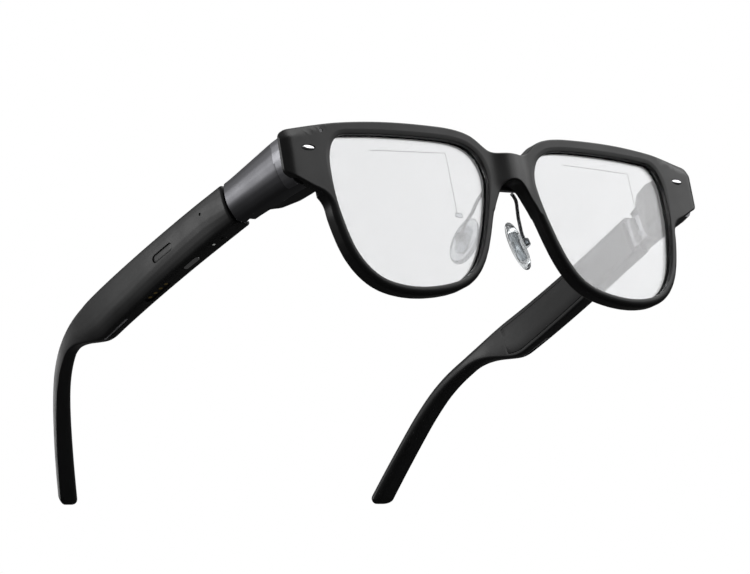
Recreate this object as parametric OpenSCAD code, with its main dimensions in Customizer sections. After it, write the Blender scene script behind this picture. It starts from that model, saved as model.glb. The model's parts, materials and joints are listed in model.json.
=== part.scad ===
// Smart glasses: a black front with two clear display lenses, metal hinge
// sleeves, two hollow folding temples with the electronics inside, and nose
// pads on wire arms.
// Units are millimetres. The glasses stand open on a table: the rims and the
// temple tips touch z = 0. The wearer looks along -Y, and the wearer's right
// is -X. Every piece of a side is drawn for +X and mirrored for -X.

/* [Front] */
// Width across the two end pieces
front_w = 146.8; // [140:0.2:178]
// Width of one lens opening
lens_w = 51.6; // [42:0.2:55]
// Height of one lens opening
lens_h = 43.4; // [36:0.2:53]
// Distance between the lens openings
bridge_w = 17.6; // [16:0.2:22]
// Depth of the front, from its face to its back
front_t = 4.4; // [4.2:0.1:6]
// Width of the rim round a lens
rim_w = 2.4; // [2:0.1:3.2]
// Extra width of the rim above a lens
brow_w = 2.9; // [2.4:0.1:4]
// Height of the bridge
bridge_h = 7.8; // [6:0.1:9.4]
// Depth of the end pieces, in front of the hinge sleeves
end_t = 2.2; // [1.8:0.1:2.8]
// Radius of the wrap round the face
wrap_r = 757; // [600:1:1200]
// Forward lean of the top of the front, in degrees
lean = 9.7; // [6:0.1:12]

/* [Optics] */
// Depth of the lip in front of a lens
lip_t = 1.3; // [1:0.1:1.8]
// Thickness of the cover lens
lens_t = 1.3; // [1:0.1:1.4]
// Thickness of the waveguide plate
guide_t = 0.7; // [0.5:0.1:0.9]
// How far a lens reaches under the lip
seat_w = 0.9; // [0.6:0.1:1.2]
// Clearance round a lens in its seat
lens_gap = 0.05; // [0.03:0.01:0.1]

/* [Nose] */
// Length of a nose pad
pad_len = 14.5; // [12:0.1:17]
// Width of a nose pad
pad_w = 8; // [6.6:0.1:9.6]
// Thickness of a nose pad
pad_t = 2.4; // [2:0.1:3]
// Radius of the pad arm wire
wire_r = 0.5; // [0.4:0.05:0.6]

/* [Hinge] */
// Distance of the hinge pins behind the centre of the front
hinge_y = 28.4; // [26:0.1:34]
// Radius of the hinge barrels
barrel_r = 1.8; // [1.6:0.05:2]
// Radius of the hinge pins
pin_r = 0.6; // [0.5:0.05:0.7]
// Running clearance of the hinge pins in the temple knuckles
pin_gap = 0.05; // [0.02:0.01:0.09]
// Open gap between a sleeve and its temple
fold_gap = 0.9; // [0.8:0.05:1.2]

/* [Temples] */
// Length of the deep part of a temple
bar_len = 66; // [60:0.5:80]
// Height of a temple at the hinge
bar_h = 11.6; // [11.4:0.1:14]
// Thickness of a temple at the hinge
bar_t = 7; // [6.8:0.1:8.4]
// Height of a temple where the deep part ends
heel_h = 13; // [12.4:0.1:15.6]
// Thickness of a temple where the deep part ends
neck_t = 5.2; // [5:0.1:6.2]
// Height of the slim part behind the ear bend
tip_h = 4.6; // [4.2:0.1:5.6]
// Thickness of the slim part at its end
tip_t = 4.4; // [4:0.1:5.2]
// Wall of the temple shells and the sleeves
wall = 1; // [0.8:0.05:1.2]
// Outward splay of the temples, in degrees
splay = 6.2; // [4:0.1:7]

/* [Hidden] */
$fn = 48;

// Frame black, metal greys and the rest of the colours
black = [0.05, 0.05, 0.055];
dark_metal = [0.32, 0.32, 0.33];
steel = [0.75, 0.75, 0.76];
clear = [0.85, 0.88, 0.9];
board_green = [0.05, 0.25, 0.15];
gold = [0.83, 0.7, 0.4];

// Outline of a lens opening, as shares of its half width and half height,
// from the temple side round over the top to the nose and back under
EYE = [[1, 0.3], [0.98, 0.7], [0.86, 0.93], [0.6, 0.98], [0, 1],
    [-0.6, 0.98], [-0.86, 0.88], [-0.98, 0.68], [-1, 0.4], [-0.9, -0.06],
    [-0.72, -0.56], [-0.48, -0.85], [-0.1, -0.98], [0.3, -0.99],
    [0.62, -0.87], [0.84, -0.57], [0.96, -0.1]];

lens_x = (bridge_w + lens_w) / 2;
lens_z = 14.9 - lens_h / 2;
lens_top = lens_z + lens_h / 2;
bridge_top = lens_top - 3.7;
end_x = front_w / 2;
end_top = lens_top - 1.3;
end_bottom = end_top - 12.2;
end_in = end_x - 9.5;
arch_r = 5.6;

// Levels shared by the sleeves and the temples
bar_top = 13;
sleeve_out = end_x - 0.1;
sleeve_end = hinge_y - fold_gap / 2;
bar_start = hinge_y + fold_gap / 2;
out_x = sleeve_out + sin(splay) * hinge_y;
pivot_x = out_x - bar_t + barrel_r + 0.25;
relief_r = barrel_r + 0.4;
barrel_low = bar_top - bar_h + wall + 0.4;
barrel_high = bar_top - wall - 0.4;
knuckle_h = (barrel_high - barrel_low) * 0.44;
knuckle_gap = 0.12;
band_len = 5;
sleeve_slim = 8.4;

// Path of the outer face in plan: runs of [length, turn in degrees]
PLAN = [[16, -0.8], [bar_len - 30, -4.2], [12, -2.6], [28, -15],
    [16, -5], [36, -6]];
// Path of the top edge in side view: runs of [length, turn down in degrees]
SIDE = [[bar_len, 0], [10, 6], [15, 8], [14, 20], [10, 7], [26, 4]];
heel_len = 22;
tip_start = bar_len + heel_len;
tip_end = 2.2;
side_len = bar_len + 75;

// Running sum of a path's runs, cut into steps of about 3 mm:
// a list of [distance, across, along, heading]
function steps(runs) = [for (r = runs) let (n = ceil(r[0] / 3))
    for (k = [1:n]) [r[0] / n, r[1] / n]];
function trace(p, h, s) = [for (i = 0, q = [0, p[0], p[1], h];
    i <= len(s);
    q = i < len(s) ? [q[0] + s[i][0],
        q[1] + s[i][0] * sin(q[3] + s[i][1] / 2),
        q[2] + s[i][0] * cos(q[3] + s[i][1] / 2), q[3] + s[i][1]] : q,
    i = i + 1) q];
plan = trace([out_x, bar_start], splay, steps(PLAN));
side = trace([0, bar_start], 0, steps(SIDE));
function column(t, c) = [for (q = t) [q[0], q[c]]];
plan_x = column(plan, 1);
plan_y = column(plan, 2);
plan_h = column(plan, 3);
side_z = column(side, 1);
side_y = column(side, 2);
side_h = column(side, 3);

// A point at distance s along the outer face, moved inwards by d
function plan_at(s, d) = let (h = lookup(s, plan_h))
    [lookup(s, plan_x) - d * cos(h), lookup(s, plan_y) + d * sin(h)];
// A point at distance s along the top edge, moved down by d
function side_at(s, d) = let (h = lookup(s, side_h))
    [lookup(s, side_y) - d * sin(h), bar_top - lookup(s, side_z) - d * cos(h)];
function mix(a, b, t) = a + (b - a) * min(1, max(0, t));
function ease(t) = let (c = min(1, max(0, t))) c * c * (3 - 2 * c);
function thick(s) = s < bar_len ? mix(bar_t, neck_t, s / bar_len)
    : mix(neck_t, tip_t, (s - bar_len) / heel_len);
function tall(s) = s < bar_len - 4 ? mix(bar_h, heel_h, s / (bar_len - 4))
    : heel_h + (tip_h - heel_h) * ease((s - bar_len + 4) / heel_len);
// How far the edges close in over the round end of a tip
function tip_round(s) = let (u = min(1, max(0, 1 + (s - side_len) / tip_end)))
    tip_h / 2 * (1 - sqrt(1 - u * u * 0.98));

// The lowest points of a rim and of a temple tip, and the pitch and shift
// that stand both on the table
rim_low = let (z = lens_z - lens_h / 2 - rim_w,
    y = lens_x * lens_x / (2 * wrap_r))
    [y * cos(lean) - z * sin(lean), y * sin(lean) + z * cos(lean)];
tip_low = side_at(side_len - 1, tip_h);
pitch = atan2(tip_low[1] - rim_low[1], tip_low[0] - rim_low[0]);
rest_z = rim_low[0] * sin(pitch) - rim_low[1] * cos(pitch);
// The shift that puts the middle of the open glasses over the origin
far_y = let (e = side_at(side_len, tip_h / 5))
    e[0] * cos(pitch) + e[1] * sin(pitch);
near_y = -(lens_top + 1) * sin(lean - pitch);
rest_y = -(far_y + near_y) / 2;

// The nose pad's own frame: Z along the pad, X away from the nose, with the
// rocking pin along Y
pad_c = [9.8, 15, -8];
pad_lean = -32;
pad_toe = 33;
pad_turn = -59;
pin_back = pad_t / 2 + 1.5;
eye_r = 1.05;
eye_w = 1;
rock_r = 0.4;
rock_gap = 0.05;
function about_z(a, v) = [v[0] * cos(a) - v[1] * sin(a),
    v[0] * sin(a) + v[1] * cos(a), v[2]];
function about_y(a, v) = [v[0] * cos(a) + v[2] * sin(a), v[1],
    v[2] * cos(a) - v[0] * sin(a)];
function pad_point(v) = pad_c
    + about_z(pad_toe, about_y(pad_lean, about_z(pad_turn, v)));
WIRE = [[5, 6.2, 3.4], [5.9, 6.6, 2.9], [7, 7.4, 1.8], [7.9, 8.8, 0.2],
    [8.8, 10.3, -1.7], [10, 11.8, -3.4], pad_point([pin_back + 0.1, -0.1, 3.3]),
    pad_point([pin_back, 0, 2]), pad_point([pin_back, 0, 0.8])];

// Places along the temples, measured from the hinge end
contact_s = 37;
contact_pitch = 2.6;
contacts = 4;
power_s = 21;
light_s = 11;
mic_s = 7.4;
outer_mic_s = 9.8;
side_button_s = 28;
speaker_s = 59;

module rest_pose() translate([0, rest_y, rest_z]) rotate([-pitch, 0, 0])
    children();
module on_left() rest_pose() children();
module on_right() rest_pose() mirror([1, 0, 0]) children();
module leaned() rotate([lean, 0, 0]) children();

// Everything between two depths behind the front's curved face
module slab(a, b) difference() {
    translate([0, wrap_r, -60]) cylinder(r = wrap_r - a, h = 120, $fn = 180);
    translate([0, wrap_r, -61]) cylinder(r = wrap_r - b, h = 122, $fn = 180);
    translate([-200, 60, -62]) cube([400, 2 * wrap_r, 124]);
}

// Catmull-Rom curve through a closed list of points
function bend(a, b, c, d, t) = 0.5 * (2 * b + (c - a) * t
    + (2 * a - 5 * b + 4 * c - d) * t * t
    + (3 * b - a - 3 * c + d) * t * t * t);
function loop(p, n) = [for (i = [0:len(p) - 1]) for (k = [0:n - 1])
    bend(p[(i + len(p) - 1) % len(p)], p[i], p[(i + 1) % len(p)],
        p[(i + 2) % len(p)], k / n)];

// A closed run of points, pushed outwards by d
function grown(p, d) = [for (i = [0:len(p) - 1])
    let (t = p[(i + 1) % len(p)] - p[(i + len(p) - 1) % len(p)])
        p[i] + d * [t[1], -t[0]] / norm(t)];
eye_line = [for (p = loop(EYE, 5)) [p[0] * lens_w / 2, p[1] * lens_h / 2]];
module eye(grow = 0) translate([lens_x, lens_z]) polygon(grown(eye_line, grow));

// Height of the brow line at x: highest above the lens, falling to both sides
brow_end = end_x - 1.2;
nose_fall = 1;
function brow(x) = let (u = x > lens_x ? (x - lens_x) / (brow_end - lens_x)
    : (lens_x - x) / lens_w * 2)
    lens_top + brow_w - u * u * (x > lens_x ? lens_top + brow_w - end_top
        : nose_fall);
brow_from = lens_x - lens_w / 2 + 4;
module brow_shape() polygon(concat(
    [for (k = [0:16]) let (x = brow_from + (brow_end - brow_from) * k / 16)
        [x, brow(x)]],
    [[end_x, end_top - 1.2], [end_x, end_bottom + 1], [end_x - 0.8, end_bottom],
        [end_x - 3, end_bottom - 1.2], [end_x - 7, end_bottom - 3.4],
        [end_x - 9, end_bottom - 4.2], [lens_x + lens_w / 2 + 1.8, end_bottom - 6.4],
        [lens_x + lens_w / 2, lens_z - 2], [lens_x, lens_z],
        [brow_from, lens_z + 4]]));
module bridge_shape() polygon([[-0.01, bridge_top], [4.6, bridge_top],
    [5.6, bridge_top + 0.5], [9.6, brow(brow_from) - 2],
    [11, brow(brow_from) - 0.8], [brow_from + 0.01, brow(brow_from)],
    [brow_from + 1, lens_z + lens_h / 4], [lens_x - lens_w / 2, lens_z + 2],
    [arch_r + 0.6, bridge_top - bridge_h - arch_r - 2],
    [-0.01, bridge_top - bridge_h - arch_r - 2]]);
module outline() for (m = [0, 1]) mirror([m, 0, 0]) {
    through() eye(rim_w);
    through() brow_shape();
    through() bridge_shape();
}

module arch() translate([0, bridge_top - bridge_h - arch_r]) union() {
    circle(r = arch_r, $fn = 64);
    polygon([[-arch_r, 0], [arch_r, 0], [arch_r + 0.6, -4],
        [-arch_r - 0.6, -4]]);
}

// A flat outline pushed back through the front
module through(from = -8, to = 16) translate([0, to, 0]) rotate([90, 0, 0])
    linear_extrude(height = to - from) children();

module front_frame() color(black) rest_pose() leaned() difference() {
    intersection() {
        slab(0, front_t);
        difference() {
            outline();
            through(-9, 17) arch();
            for (m = [0, 1]) mirror([m, 0, 0]) through(-9, 17) eye();
        }
    }
    // seats for the lens, waveguide and rear rim
    intersection() {
        slab(lip_t, front_t + 2);
        through() for (m = [0, 1]) mirror([m, 0]) eye(seat_w);
    }
    // thinner end pieces, which the sleeves stand behind
    intersection() {
        slab(end_t, front_t + 2);
        union() for (m = [0, 1]) mirror([m, 0, 0])
            translate([end_in, -8, -20]) cube([20, 30, 50]);
    }
    for (m = [0, 1]) mirror([m, 0, 0]) rivet_body(0);
    sensor_body(0);
}

module optic(a, b, grow) leaned() intersection() {
    slab(a, b);
    through() eye(grow);
}
module lens() color(clear) optic(lip_t, lip_t + lens_t, seat_w - lens_gap);
module waveguide() color(clear)
    optic(lip_t + lens_t, lip_t + lens_t + guide_t, seat_w - lens_gap);
module rear_rim() color(black) leaned() intersection() {
    slab(lip_t + lens_t + guide_t, front_t);
    through() difference() {
        eye(seat_w - lens_gap);
        eye(0);
    }
}
module lens_left() on_left() lens();
module lens_right() on_right() lens();
module waveguide_left() on_left() waveguide();
module waveguide_right() on_right() waveguide();
module rear_rim_left() on_left() rear_rim();
module rear_rim_right() on_right() rear_rim();

// Flat oval rivet in the end piece
rivet_x = end_x - 7;
rivet_z = end_top - 3.6;
rivet_len = 4;
rivet_w = 1.5;
rivet_deep = 1;
module rivet_body(proud) {
    face_y = rivet_x * rivet_x / (2 * wrap_r);
    translate([rivet_x, face_y + rivet_deep, rivet_z]) rotate([90, 0, 0])
        linear_extrude(height = rivet_deep + 0.2 + proud) union() {
            square([rivet_len - rivet_w, rivet_w], center = true);
            for (k = [-1, 1]) translate([k * (rivet_len - rivet_w) / 2, 0])
                circle(d = rivet_w);
        }
}
module rivet() color(steel) leaned() rivet_body(0);
module rivet_left() on_left() rivet();
module rivet_right() on_right() rivet();

// Round window of the light sensor, in the wearer's right end piece
sensor_r = 0.6;
module sensor_body(back) {
    x = end_x - 11.7;
    translate([-x, x * x / (2 * wrap_r) + 1.4, end_top + 0.3])
        rotate([90, 0, 0]) cylinder(r = sensor_r, h = 1.6 - back);
}
module sensor_window() color([0.3, 0.3, 0.32]) rest_pose() leaned()
    sensor_body(0.3);

// Bar behind the bridge that carries both pad arms
bar_half = 6;
bar_deep = 1.4;
module nose_bar() color(dark_metal) rest_pose() leaned() intersection() {
    slab(front_t, front_t + bar_deep);
    through() translate([0, bridge_top - bridge_h + 0.6]) union() {
        square([2 * bar_half - 2, 2], center = true);
        for (k = [-1, 1]) translate([k * (bar_half - 1), 0]) circle(r = 1);
    }
}

module pad_frame() translate(pad_c) rotate([0, pad_lean, pad_toe])
    rotate([0, 0, pad_turn]) children();
module at_eye() pad_frame() translate([pin_back, 0, 0]) rotate([90, 0, 0])
    children();

module pad_arm() color(steel) difference() {
    union() {
        for (i = [0:len(WIRE) - 2]) hull() {
            translate(WIRE[i]) sphere(r = wire_r, $fn = 14);
            translate(WIRE[i + 1]) sphere(r = wire_r, $fn = 14);
        }
        at_eye() cylinder(r = eye_r, h = eye_w, center = true, $fn = 32);
    }
    at_eye() cylinder(r = rock_r + rock_gap, h = 4, center = true, $fn = 32);
}
module pad_arm_left() on_left() pad_arm();
module pad_arm_right() on_right() pad_arm();

// Two cheeks and a pin on a foot, moulded to the back of the pad
cheek_t = 0.6;
cheek_gap = 0.15;
foot_t = 0.45;
module pad_core() color([0.6, 0.6, 0.62]) {
    pad_frame() union() {
        foot_w = eye_w + 2 * (cheek_gap + cheek_t);
        translate([pad_t / 2, -foot_w / 2, -2]) cube([foot_t, foot_w, 4]);
        for (k = [-1, 1])
            translate([pad_t / 2, k * (foot_w - cheek_t) / 2 - cheek_t / 2, -1])
                cube([pin_back - pad_t / 2, cheek_t, 2]);
    }
    at_eye() {
        h = eye_w + 2 * (cheek_gap + cheek_t);
        cylinder(r = rock_r, h = h, center = true);
        for (k = [-1, 1]) translate([0, 0, k * (h - cheek_t) / 2])
            cylinder(r = 1, h = cheek_t, center = true);
    }
}
module pad_core_left() on_left() pad_core();
module pad_core_right() on_right() pad_core();

module nose_pad() color([0.9, 0.92, 0.94]) pad_frame()
    translate([-pad_t / 2, 0, 0]) rotate([90, 0, 90])
        linear_extrude(height = pad_t) polygon([for (a = [0:10:350])
            [cos(a) * pad_w / 2, sin(a) * pad_len / 2]]);
module nose_pad_left() on_left() nose_pad();
module nose_pad_right() on_right() nose_pad();

// Everything behind the back of an end piece
module behind_front() leaned() translate([0, wrap_r, -60])
    cylinder(r = wrap_r - end_t, h = 120, $fn = 180);

// Plan of a sleeve's outer face at distance y, moved inwards by d
function sleeve_x(y, d = 0) = sleeve_out - d + sin(splay) * y
    - (y < band_len + 2.6 ? (band_len + 2.6 - y) * 0.12 : 0);
// Inner edge of a sleeve at distance y
function sleeve_in(y) = out_x - bar_t - (sleeve_end - y) * 0.14;

module sleeve() color(dark_metal) difference() {
    intersection() {
        translate([0, 0, bar_top - bar_h]) linear_extrude(height = bar_h)
            polygon([[sleeve_x(-2), -2], [sleeve_x(band_len + 2.6), band_len + 2.6],
                [sleeve_x(sleeve_end), sleeve_end],
                [sleeve_in(sleeve_end), sleeve_end], [sleeve_in(-2), -2]]);
        behind_front();
    }
    translate([0, 0, bar_top - bar_h + wall])
        linear_extrude(height = bar_h - 2 * wall)
            polygon([[sleeve_x(-4, wall), -4],
                [sleeve_x(band_len + 2.6, wall), band_len + 2.6],
                [sleeve_x(hinge_y + 2, wall), hinge_y + 2],
                [sleeve_in(hinge_y) - 6, hinge_y + 2],
                [sleeve_in(-4) - 6, -4]]);
    // room for the folded temple, inboard of the pin
    translate([pivot_x - 12, hinge_y - barrel_r - 0.55, bar_top - bar_h - 1])
        cube([12, 8, bar_h + 2]);
    translate([pivot_x, hinge_y, bar_top - bar_h - 1])
        cylinder(r = relief_r, h = bar_h + 2);
}
module sleeve_left() on_left() sleeve();
module sleeve_right() on_right() sleeve();

// Housing of the light engine, on the inner side of the sleeve
cover_in = 6.2;
cover_from = 6;
cover_to = 21;
module cover_plan(d) polygon([
    [sleeve_in(cover_from), cover_from + d],
    [sleeve_in(cover_from) - cover_in * 0.7 + d, cover_from + d],
    [sleeve_in(cover_from + 4) - cover_in + d, cover_from + 4],
    [sleeve_in(cover_to - 6) - cover_in + 0.8 + d, cover_to - 6],
    [sleeve_in(cover_to - 2) - cover_in * 0.5 + d, cover_to - 1.6 - d],
    [sleeve_in(cover_to), cover_to - d]]);
module engine_cover() color(black) intersection() {
    difference() {
        translate([0, 0, bar_top - bar_h + 0.5])
            linear_extrude(height = bar_h - 1) cover_plan(0);
        translate([0, 0, bar_top - bar_h + 0.5 + wall])
            linear_extrude(height = bar_h - 1 - 2 * wall) union() {
                cover_plan(wall);
                translate([0.3, 0]) cover_plan(wall);
            }
        // the full depth of the front, inboard of the thinner end piece
        leaned() intersection() {
            slab(-2, front_t + 0.05);
            translate([end_in - 30, -10, -20]) cube([30.05, 40, 60]);
        }
    }
    behind_front();
}
module engine_cover_left() on_left() engine_cover();
module engine_cover_right() on_right() engine_cover();

// Light engine: a projector block with a round nose towards the waveguide
module light_engine() color([0.25, 0.25, 0.28]) union() {
    x = sleeve_in(12) - cover_in + wall + 2;
    translate([x, 10, bar_top - bar_h + wall + 1.6])
        cube([cover_in + 2.4, 5.6, bar_h - 2 * wall - 3.2]);
    translate([x + 3.6, 10, bar_top - bar_h / 2]) rotate([90, 0, 0])
        cylinder(r = 2.2, h = 1.4);
}
module light_engine_left() on_left() light_engine();
module light_engine_right() on_right() light_engine();

// Ears of the hinge, one above and one below the temple's knuckle
plate_t = 2.2;
plate_from = hinge_y - 7.6;
module hinge_bracket() color(steel) difference() {
    union() {
        translate([pivot_x - 0.2, plate_from, bar_top - bar_h + wall])
            cube([plate_t, hinge_y - barrel_r - 0.3 - plate_from,
                bar_h - 2 * wall]);
        for (z = [barrel_low, barrel_high - (barrel_high - barrel_low - knuckle_h)
            / 2 + knuckle_gap]) translate([0, 0, z]) {
            h = (barrel_high - barrel_low - knuckle_h) / 2 - knuckle_gap;
            translate([pivot_x, hinge_y, 0]) cylinder(r = barrel_r, h = h);
            translate([pivot_x - 0.2, hinge_y - barrel_r - 1, 0])
                cube([plate_t - 0.4, barrel_r + 1, h]);
        }
    }
    translate([pivot_x, hinge_y, barrel_low - 1])
        cylinder(r = pin_r, h = barrel_high - barrel_low + 2);
}
module hinge_bracket_left() on_left() hinge_bracket();
module hinge_bracket_right() on_right() hinge_bracket();

module hinge_pin() color(steel) translate([pivot_x, hinge_y, 0]) union() {
    translate([0, 0, barrel_low - 0.1])
        cylinder(r = pin_r, h = barrel_high - barrel_low + 0.2);
    translate([0, 0, barrel_high]) cylinder(r = pin_r + 0.5, h = 0.35);
}
module hinge_pin_left() on_left() hinge_pin();
module hinge_pin_right() on_right() hinge_pin();

// Frame of a temple at the hinge: Y along the temple, X outwards
module at_hinge() translate([pivot_x, hinge_y, 0]) rotate([0, 0, -splay])
    children();
knuckle_z = (barrel_low + barrel_high - knuckle_h) / 2;
knuckle_len = 8;
module temple_knuckle() color(steel) difference() {
    union() {
        at_hinge() translate([0, 0, knuckle_z]) cylinder(r = barrel_r, h = knuckle_h);
        at_hinge() translate([-0.2, 0, knuckle_z])
            cube([plate_t - 0.4, relief_r + 1, knuckle_h]);
        at_hinge() translate([-0.2, relief_r + 0.3, barrel_low])
            cube([plate_t, knuckle_len - relief_r, barrel_high - barrel_low]);
    }
    translate([pivot_x, hinge_y, 0]) cylinder(r = pin_r + pin_gap, h = bar_top);
}
module temple_knuckle_left() on_left() temple_knuckle();
module temple_knuckle_right() on_right() temple_knuckle();

// Strip of the plan between two distances, d0 to d1 in from the outer face
module plan_strip(a, b, d0, d1) polygon(concat(
    [for (k = [0:30]) plan_at(a + (b - a) * k / 30, d0)],
    [for (k = [30:-1:0]) let (s = a + (b - a) * k / 30)
        plan_at(s, thick(s) - d1)]));
// Side view between two distances, d0 down from the top, d1 up from the bottom
module side_strip(a, b, d0, d1) polygon(concat(
    [for (k = [0:44]) let (s = a + (b - a) * k / 44)
        side_at(s, tip_round(s) + d0)],
    [for (k = [44:-1:0]) let (s = a + (b - a) * k / 44)
        side_at(s, tall(s) - tip_round(s) - d1)]));
module side_prism() translate([60 - 70, 0, 0]) rotate([90, 0, 90])
    linear_extrude(height = 110) children();
module plan_prism() translate([0, 0, -60]) linear_extrude(height = 120)
    children();

cavity_from = knuckle_len - 1;
cavity_to = bar_len;
cover_t = 1.1;
module temple_body() intersection() {
    plan_prism() plan_strip(0, 142, 0, 0);
    side_prism() union() {
        side_strip(0, side_len - 5, 0, 0);
        side_strip(side_len - 5, side_len, 0, 0);
    }
}
// The hollow, a little way into the cover's pocket
module cavity() intersection() {
    plan_prism() plan_strip(cavity_from, cavity_to, wall, cover_t - 0.3);
    side_prism() side_strip(cavity_from, cavity_to, wall, wall);
}
module cover_pocket(gap = 0) intersection() {
    plan_prism() difference() {
        plan_strip(cavity_from - 3 + gap, cavity_to + 3 - gap, wall, -3);
        plan_strip(cavity_from - 6, cavity_to + 6, -3, cover_t);
    }
    side_prism() side_strip(cavity_from - 3 + gap, cavity_to + 3 - gap,
        1.4 + gap, 1.4 + gap);
}

// Frame at distance s along a temple, X outwards from the outer face, Y along
module at_bar(s) translate([plan_at(s, 0)[0], plan_at(s, 0)[1], bar_top])
    rotate([0, 0, -lookup(s, plan_h)]) children();
module under_bar(s) at_bar(s) translate([-thick(s) / 2, 0, -tall(s)]) children();

module pill(length, width, height) linear_extrude(height = height)
    union() {
        square([width, length - width], center = true);
        for (k = [-1, 1]) translate([0, k * (length - width) / 2])
            circle(d = width);
    }

slot_len = 13;
slot_w = 1.1;
module temple_shell(right) color(black) difference() {
    temple_body();
    cavity();
    cover_pocket();
    tip_core_body();
    // the hinge end: clear of the barrels, with a pocket for the knuckle
    translate([pivot_x, hinge_y, barrel_low - 0.4])
        cylinder(r = relief_r, h = barrel_high - barrel_low + 0.8);
    at_hinge() translate([-0.2, relief_r - 0.6, barrel_low])
        cube([plate_t, knuckle_len - relief_r + 4, barrel_high - barrel_low]);
    at_hinge() translate([-6, -0.6, barrel_low - 0.4])
        cube([6 + 0.4, relief_r + 0.6, barrel_high - barrel_low + 0.8]);
    under_bar(speaker_s) translate([0, 0, -1]) pill(slot_len, slot_w, wall + 3);
    if (right) {
        under_bar(contact_s) translate([0, 0, -1])
            pill(block_len, block_w, wall + 2.4);
        under_bar(power_s) translate([0, 0, -1])
            pill(power_len + 0.2, power_w + 0.2, wall + 2);
        under_bar(light_s) translate([0, 0, -1]) cylinder(r = light_r, h = 4);
        under_bar(mic_s) translate([0, 0, -1]) cylinder(r = mic_r, h = 4);
        at_bar(outer_mic_s) translate([1, 0, -3.5]) rotate([0, -90, 0])
            cylinder(r = mic_r, h = 3.5);
        at_bar(side_button_s) translate([1, 0, -5.4]) rotate([0, -90, 0])
            pill(side_len_b + 0.2, side_w_b + 0.2, wall + 2);
    }
}
module temple_shell_left() on_left() temple_shell(false);
module temple_shell_right() on_right() temple_shell(true);
module inner_cover() color(black) intersection() {
    temple_body();
    cover_pocket(0.05);
}
module inner_cover_left() on_left() inner_cover();
module inner_cover_right() on_right() inner_cover();

// Steel core of the slim part
core_r = 0.7;
module tip_core_body() intersection() {
    plan_prism() polygon(concat(
        [for (k = [0:24]) let (s = tip_start + 4 + k * 1.6)
            plan_at(s, thick(s) / 2 - core_r)],
        [for (k = [24:-1:0]) let (s = tip_start + 4 + k * 1.6)
            plan_at(s, thick(s) / 2 + core_r)]));
    side_prism() polygon(concat(
        [for (k = [0:24]) let (s = tip_start + 1 + k * 2)
            side_at(s, tall(s) / 2 - core_r)],
        [for (k = [24:-1:0]) let (s = tip_start + 1 + k * 2)
            side_at(s, tall(s) / 2 + core_r)]));
}
module tip_core() color(steel) tip_core_body();
module tip_core_left() on_left() tip_core();
module tip_core_right() on_right() tip_core();

// Cell, boards and speaker inside a temple
cell_len = 18;
cell_h = 7.4;
cell_t = 2.6;
module cell(s) color([0.7, 0.72, 0.74]) at_bar(s)
    translate([-wall - 0.3 - cell_t, -cell_len / 2, -wall - 0.4 - cell_h])
        cube([cell_t, cell_len, cell_h]);
module battery_left() on_left() cell(42.8);
module battery_right() on_right() cell(42.8);
board_t = 0.6;
module board(s, length) color(board_green) at_bar(s) union() {
    translate([-wall - 0.4 - board_t, -length / 2, -bar_h + wall + 1.2])
        cube([board_t, length, bar_h - 2 * wall - 1.9]);
    translate([-wall - 0.4 - board_t - 1, -length / 4, -bar_h + wall + 3])
        cube([1, length / 2, 4]);
}
module main_board() on_right() board(15.5, 12);
module radio_board() on_left() board(15.5, 12);
speaker_len = 13.4;
module speaker() color([0.2, 0.2, 0.2]) under_bar(speaker_s)
    translate([-1.2, -speaker_len / 2, wall + 1]) cube([2.4, speaker_len, 5]);
module speaker_left() on_left() speaker();
module speaker_right() on_right() speaker();
grille_gap = 0.05;
module speaker_grille() color([0.1, 0.1, 0.1]) under_bar(speaker_s)
    translate([0, 0, 0.35]) pill(slot_len - grille_gap * 2,
        slot_w - grille_gap * 2, 0.6);
module speaker_grille_left() on_left() speaker_grille();
module speaker_grille_right() on_right() speaker_grille();

// Charging contacts under the wearer's right temple
block_len = 11;
block_w = 2.4;
pin_d = 1.1;
module contact_block() color([0.08, 0.08, 0.08]) on_right() difference() {
    under_bar(contact_s) translate([0, 0, 0.3]) pill(block_len, block_w, 1.4);
    for (k = [0:contacts - 1]) contact(k, -1);
}
module contact(k, grow) under_bar(contact_s)
    translate([0, (k - (contacts - 1) / 2) * contact_pitch, 0.3 + grow])
        cylinder(d = pin_d, h = 1.2 - grow);
module contact_pins() color(gold) on_right()
    for (k = [0:contacts - 1]) contact(k, 0);

// Pill button under the wearer's right temple, and the long side button
power_len = 6.4;
power_w = 1.7;
button_travel = 0.3;
module power_button() color(steel) on_right() under_bar(power_s) union() {
    translate([0, 0, -0.15]) pill(power_len, power_w, wall + 0.5);
    translate([0, 0, wall + 0.15]) pill(power_len + 0.8, power_w + 0.8, 0.5);
}
side_len_b = 9;
side_w_b = 2.2;
module side_button() color([0.1, 0.1, 0.1]) on_right() at_bar(side_button_s)
    translate([0.05, 0, -5.4]) rotate([0, -90, 0]) {
        pill(side_len_b, side_w_b, wall + 0.5);
        translate([0, 0, wall + 0.2])
            pill(side_len_b + 0.8, side_w_b + 0.8, 0.5);
    }

light_r = 0.5;
mic_r = 0.45;
module status_light() color([0.85, 0.85, 0.8]) on_right() under_bar(light_s)
    translate([0, 0, 0.1]) cylinder(r = light_r, h = wall + 0.3);
module microphones() color([0.12, 0.12, 0.12]) on_right() {
    under_bar(mic_s) translate([0, 0, 0.5]) cylinder(r = mic_r, h = 0.8);
    at_bar(outer_mic_s) translate([-0.4, 0, -3.5]) rotate([0, -90, 0])
        cylinder(r = mic_r, h = 0.8);
}

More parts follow.
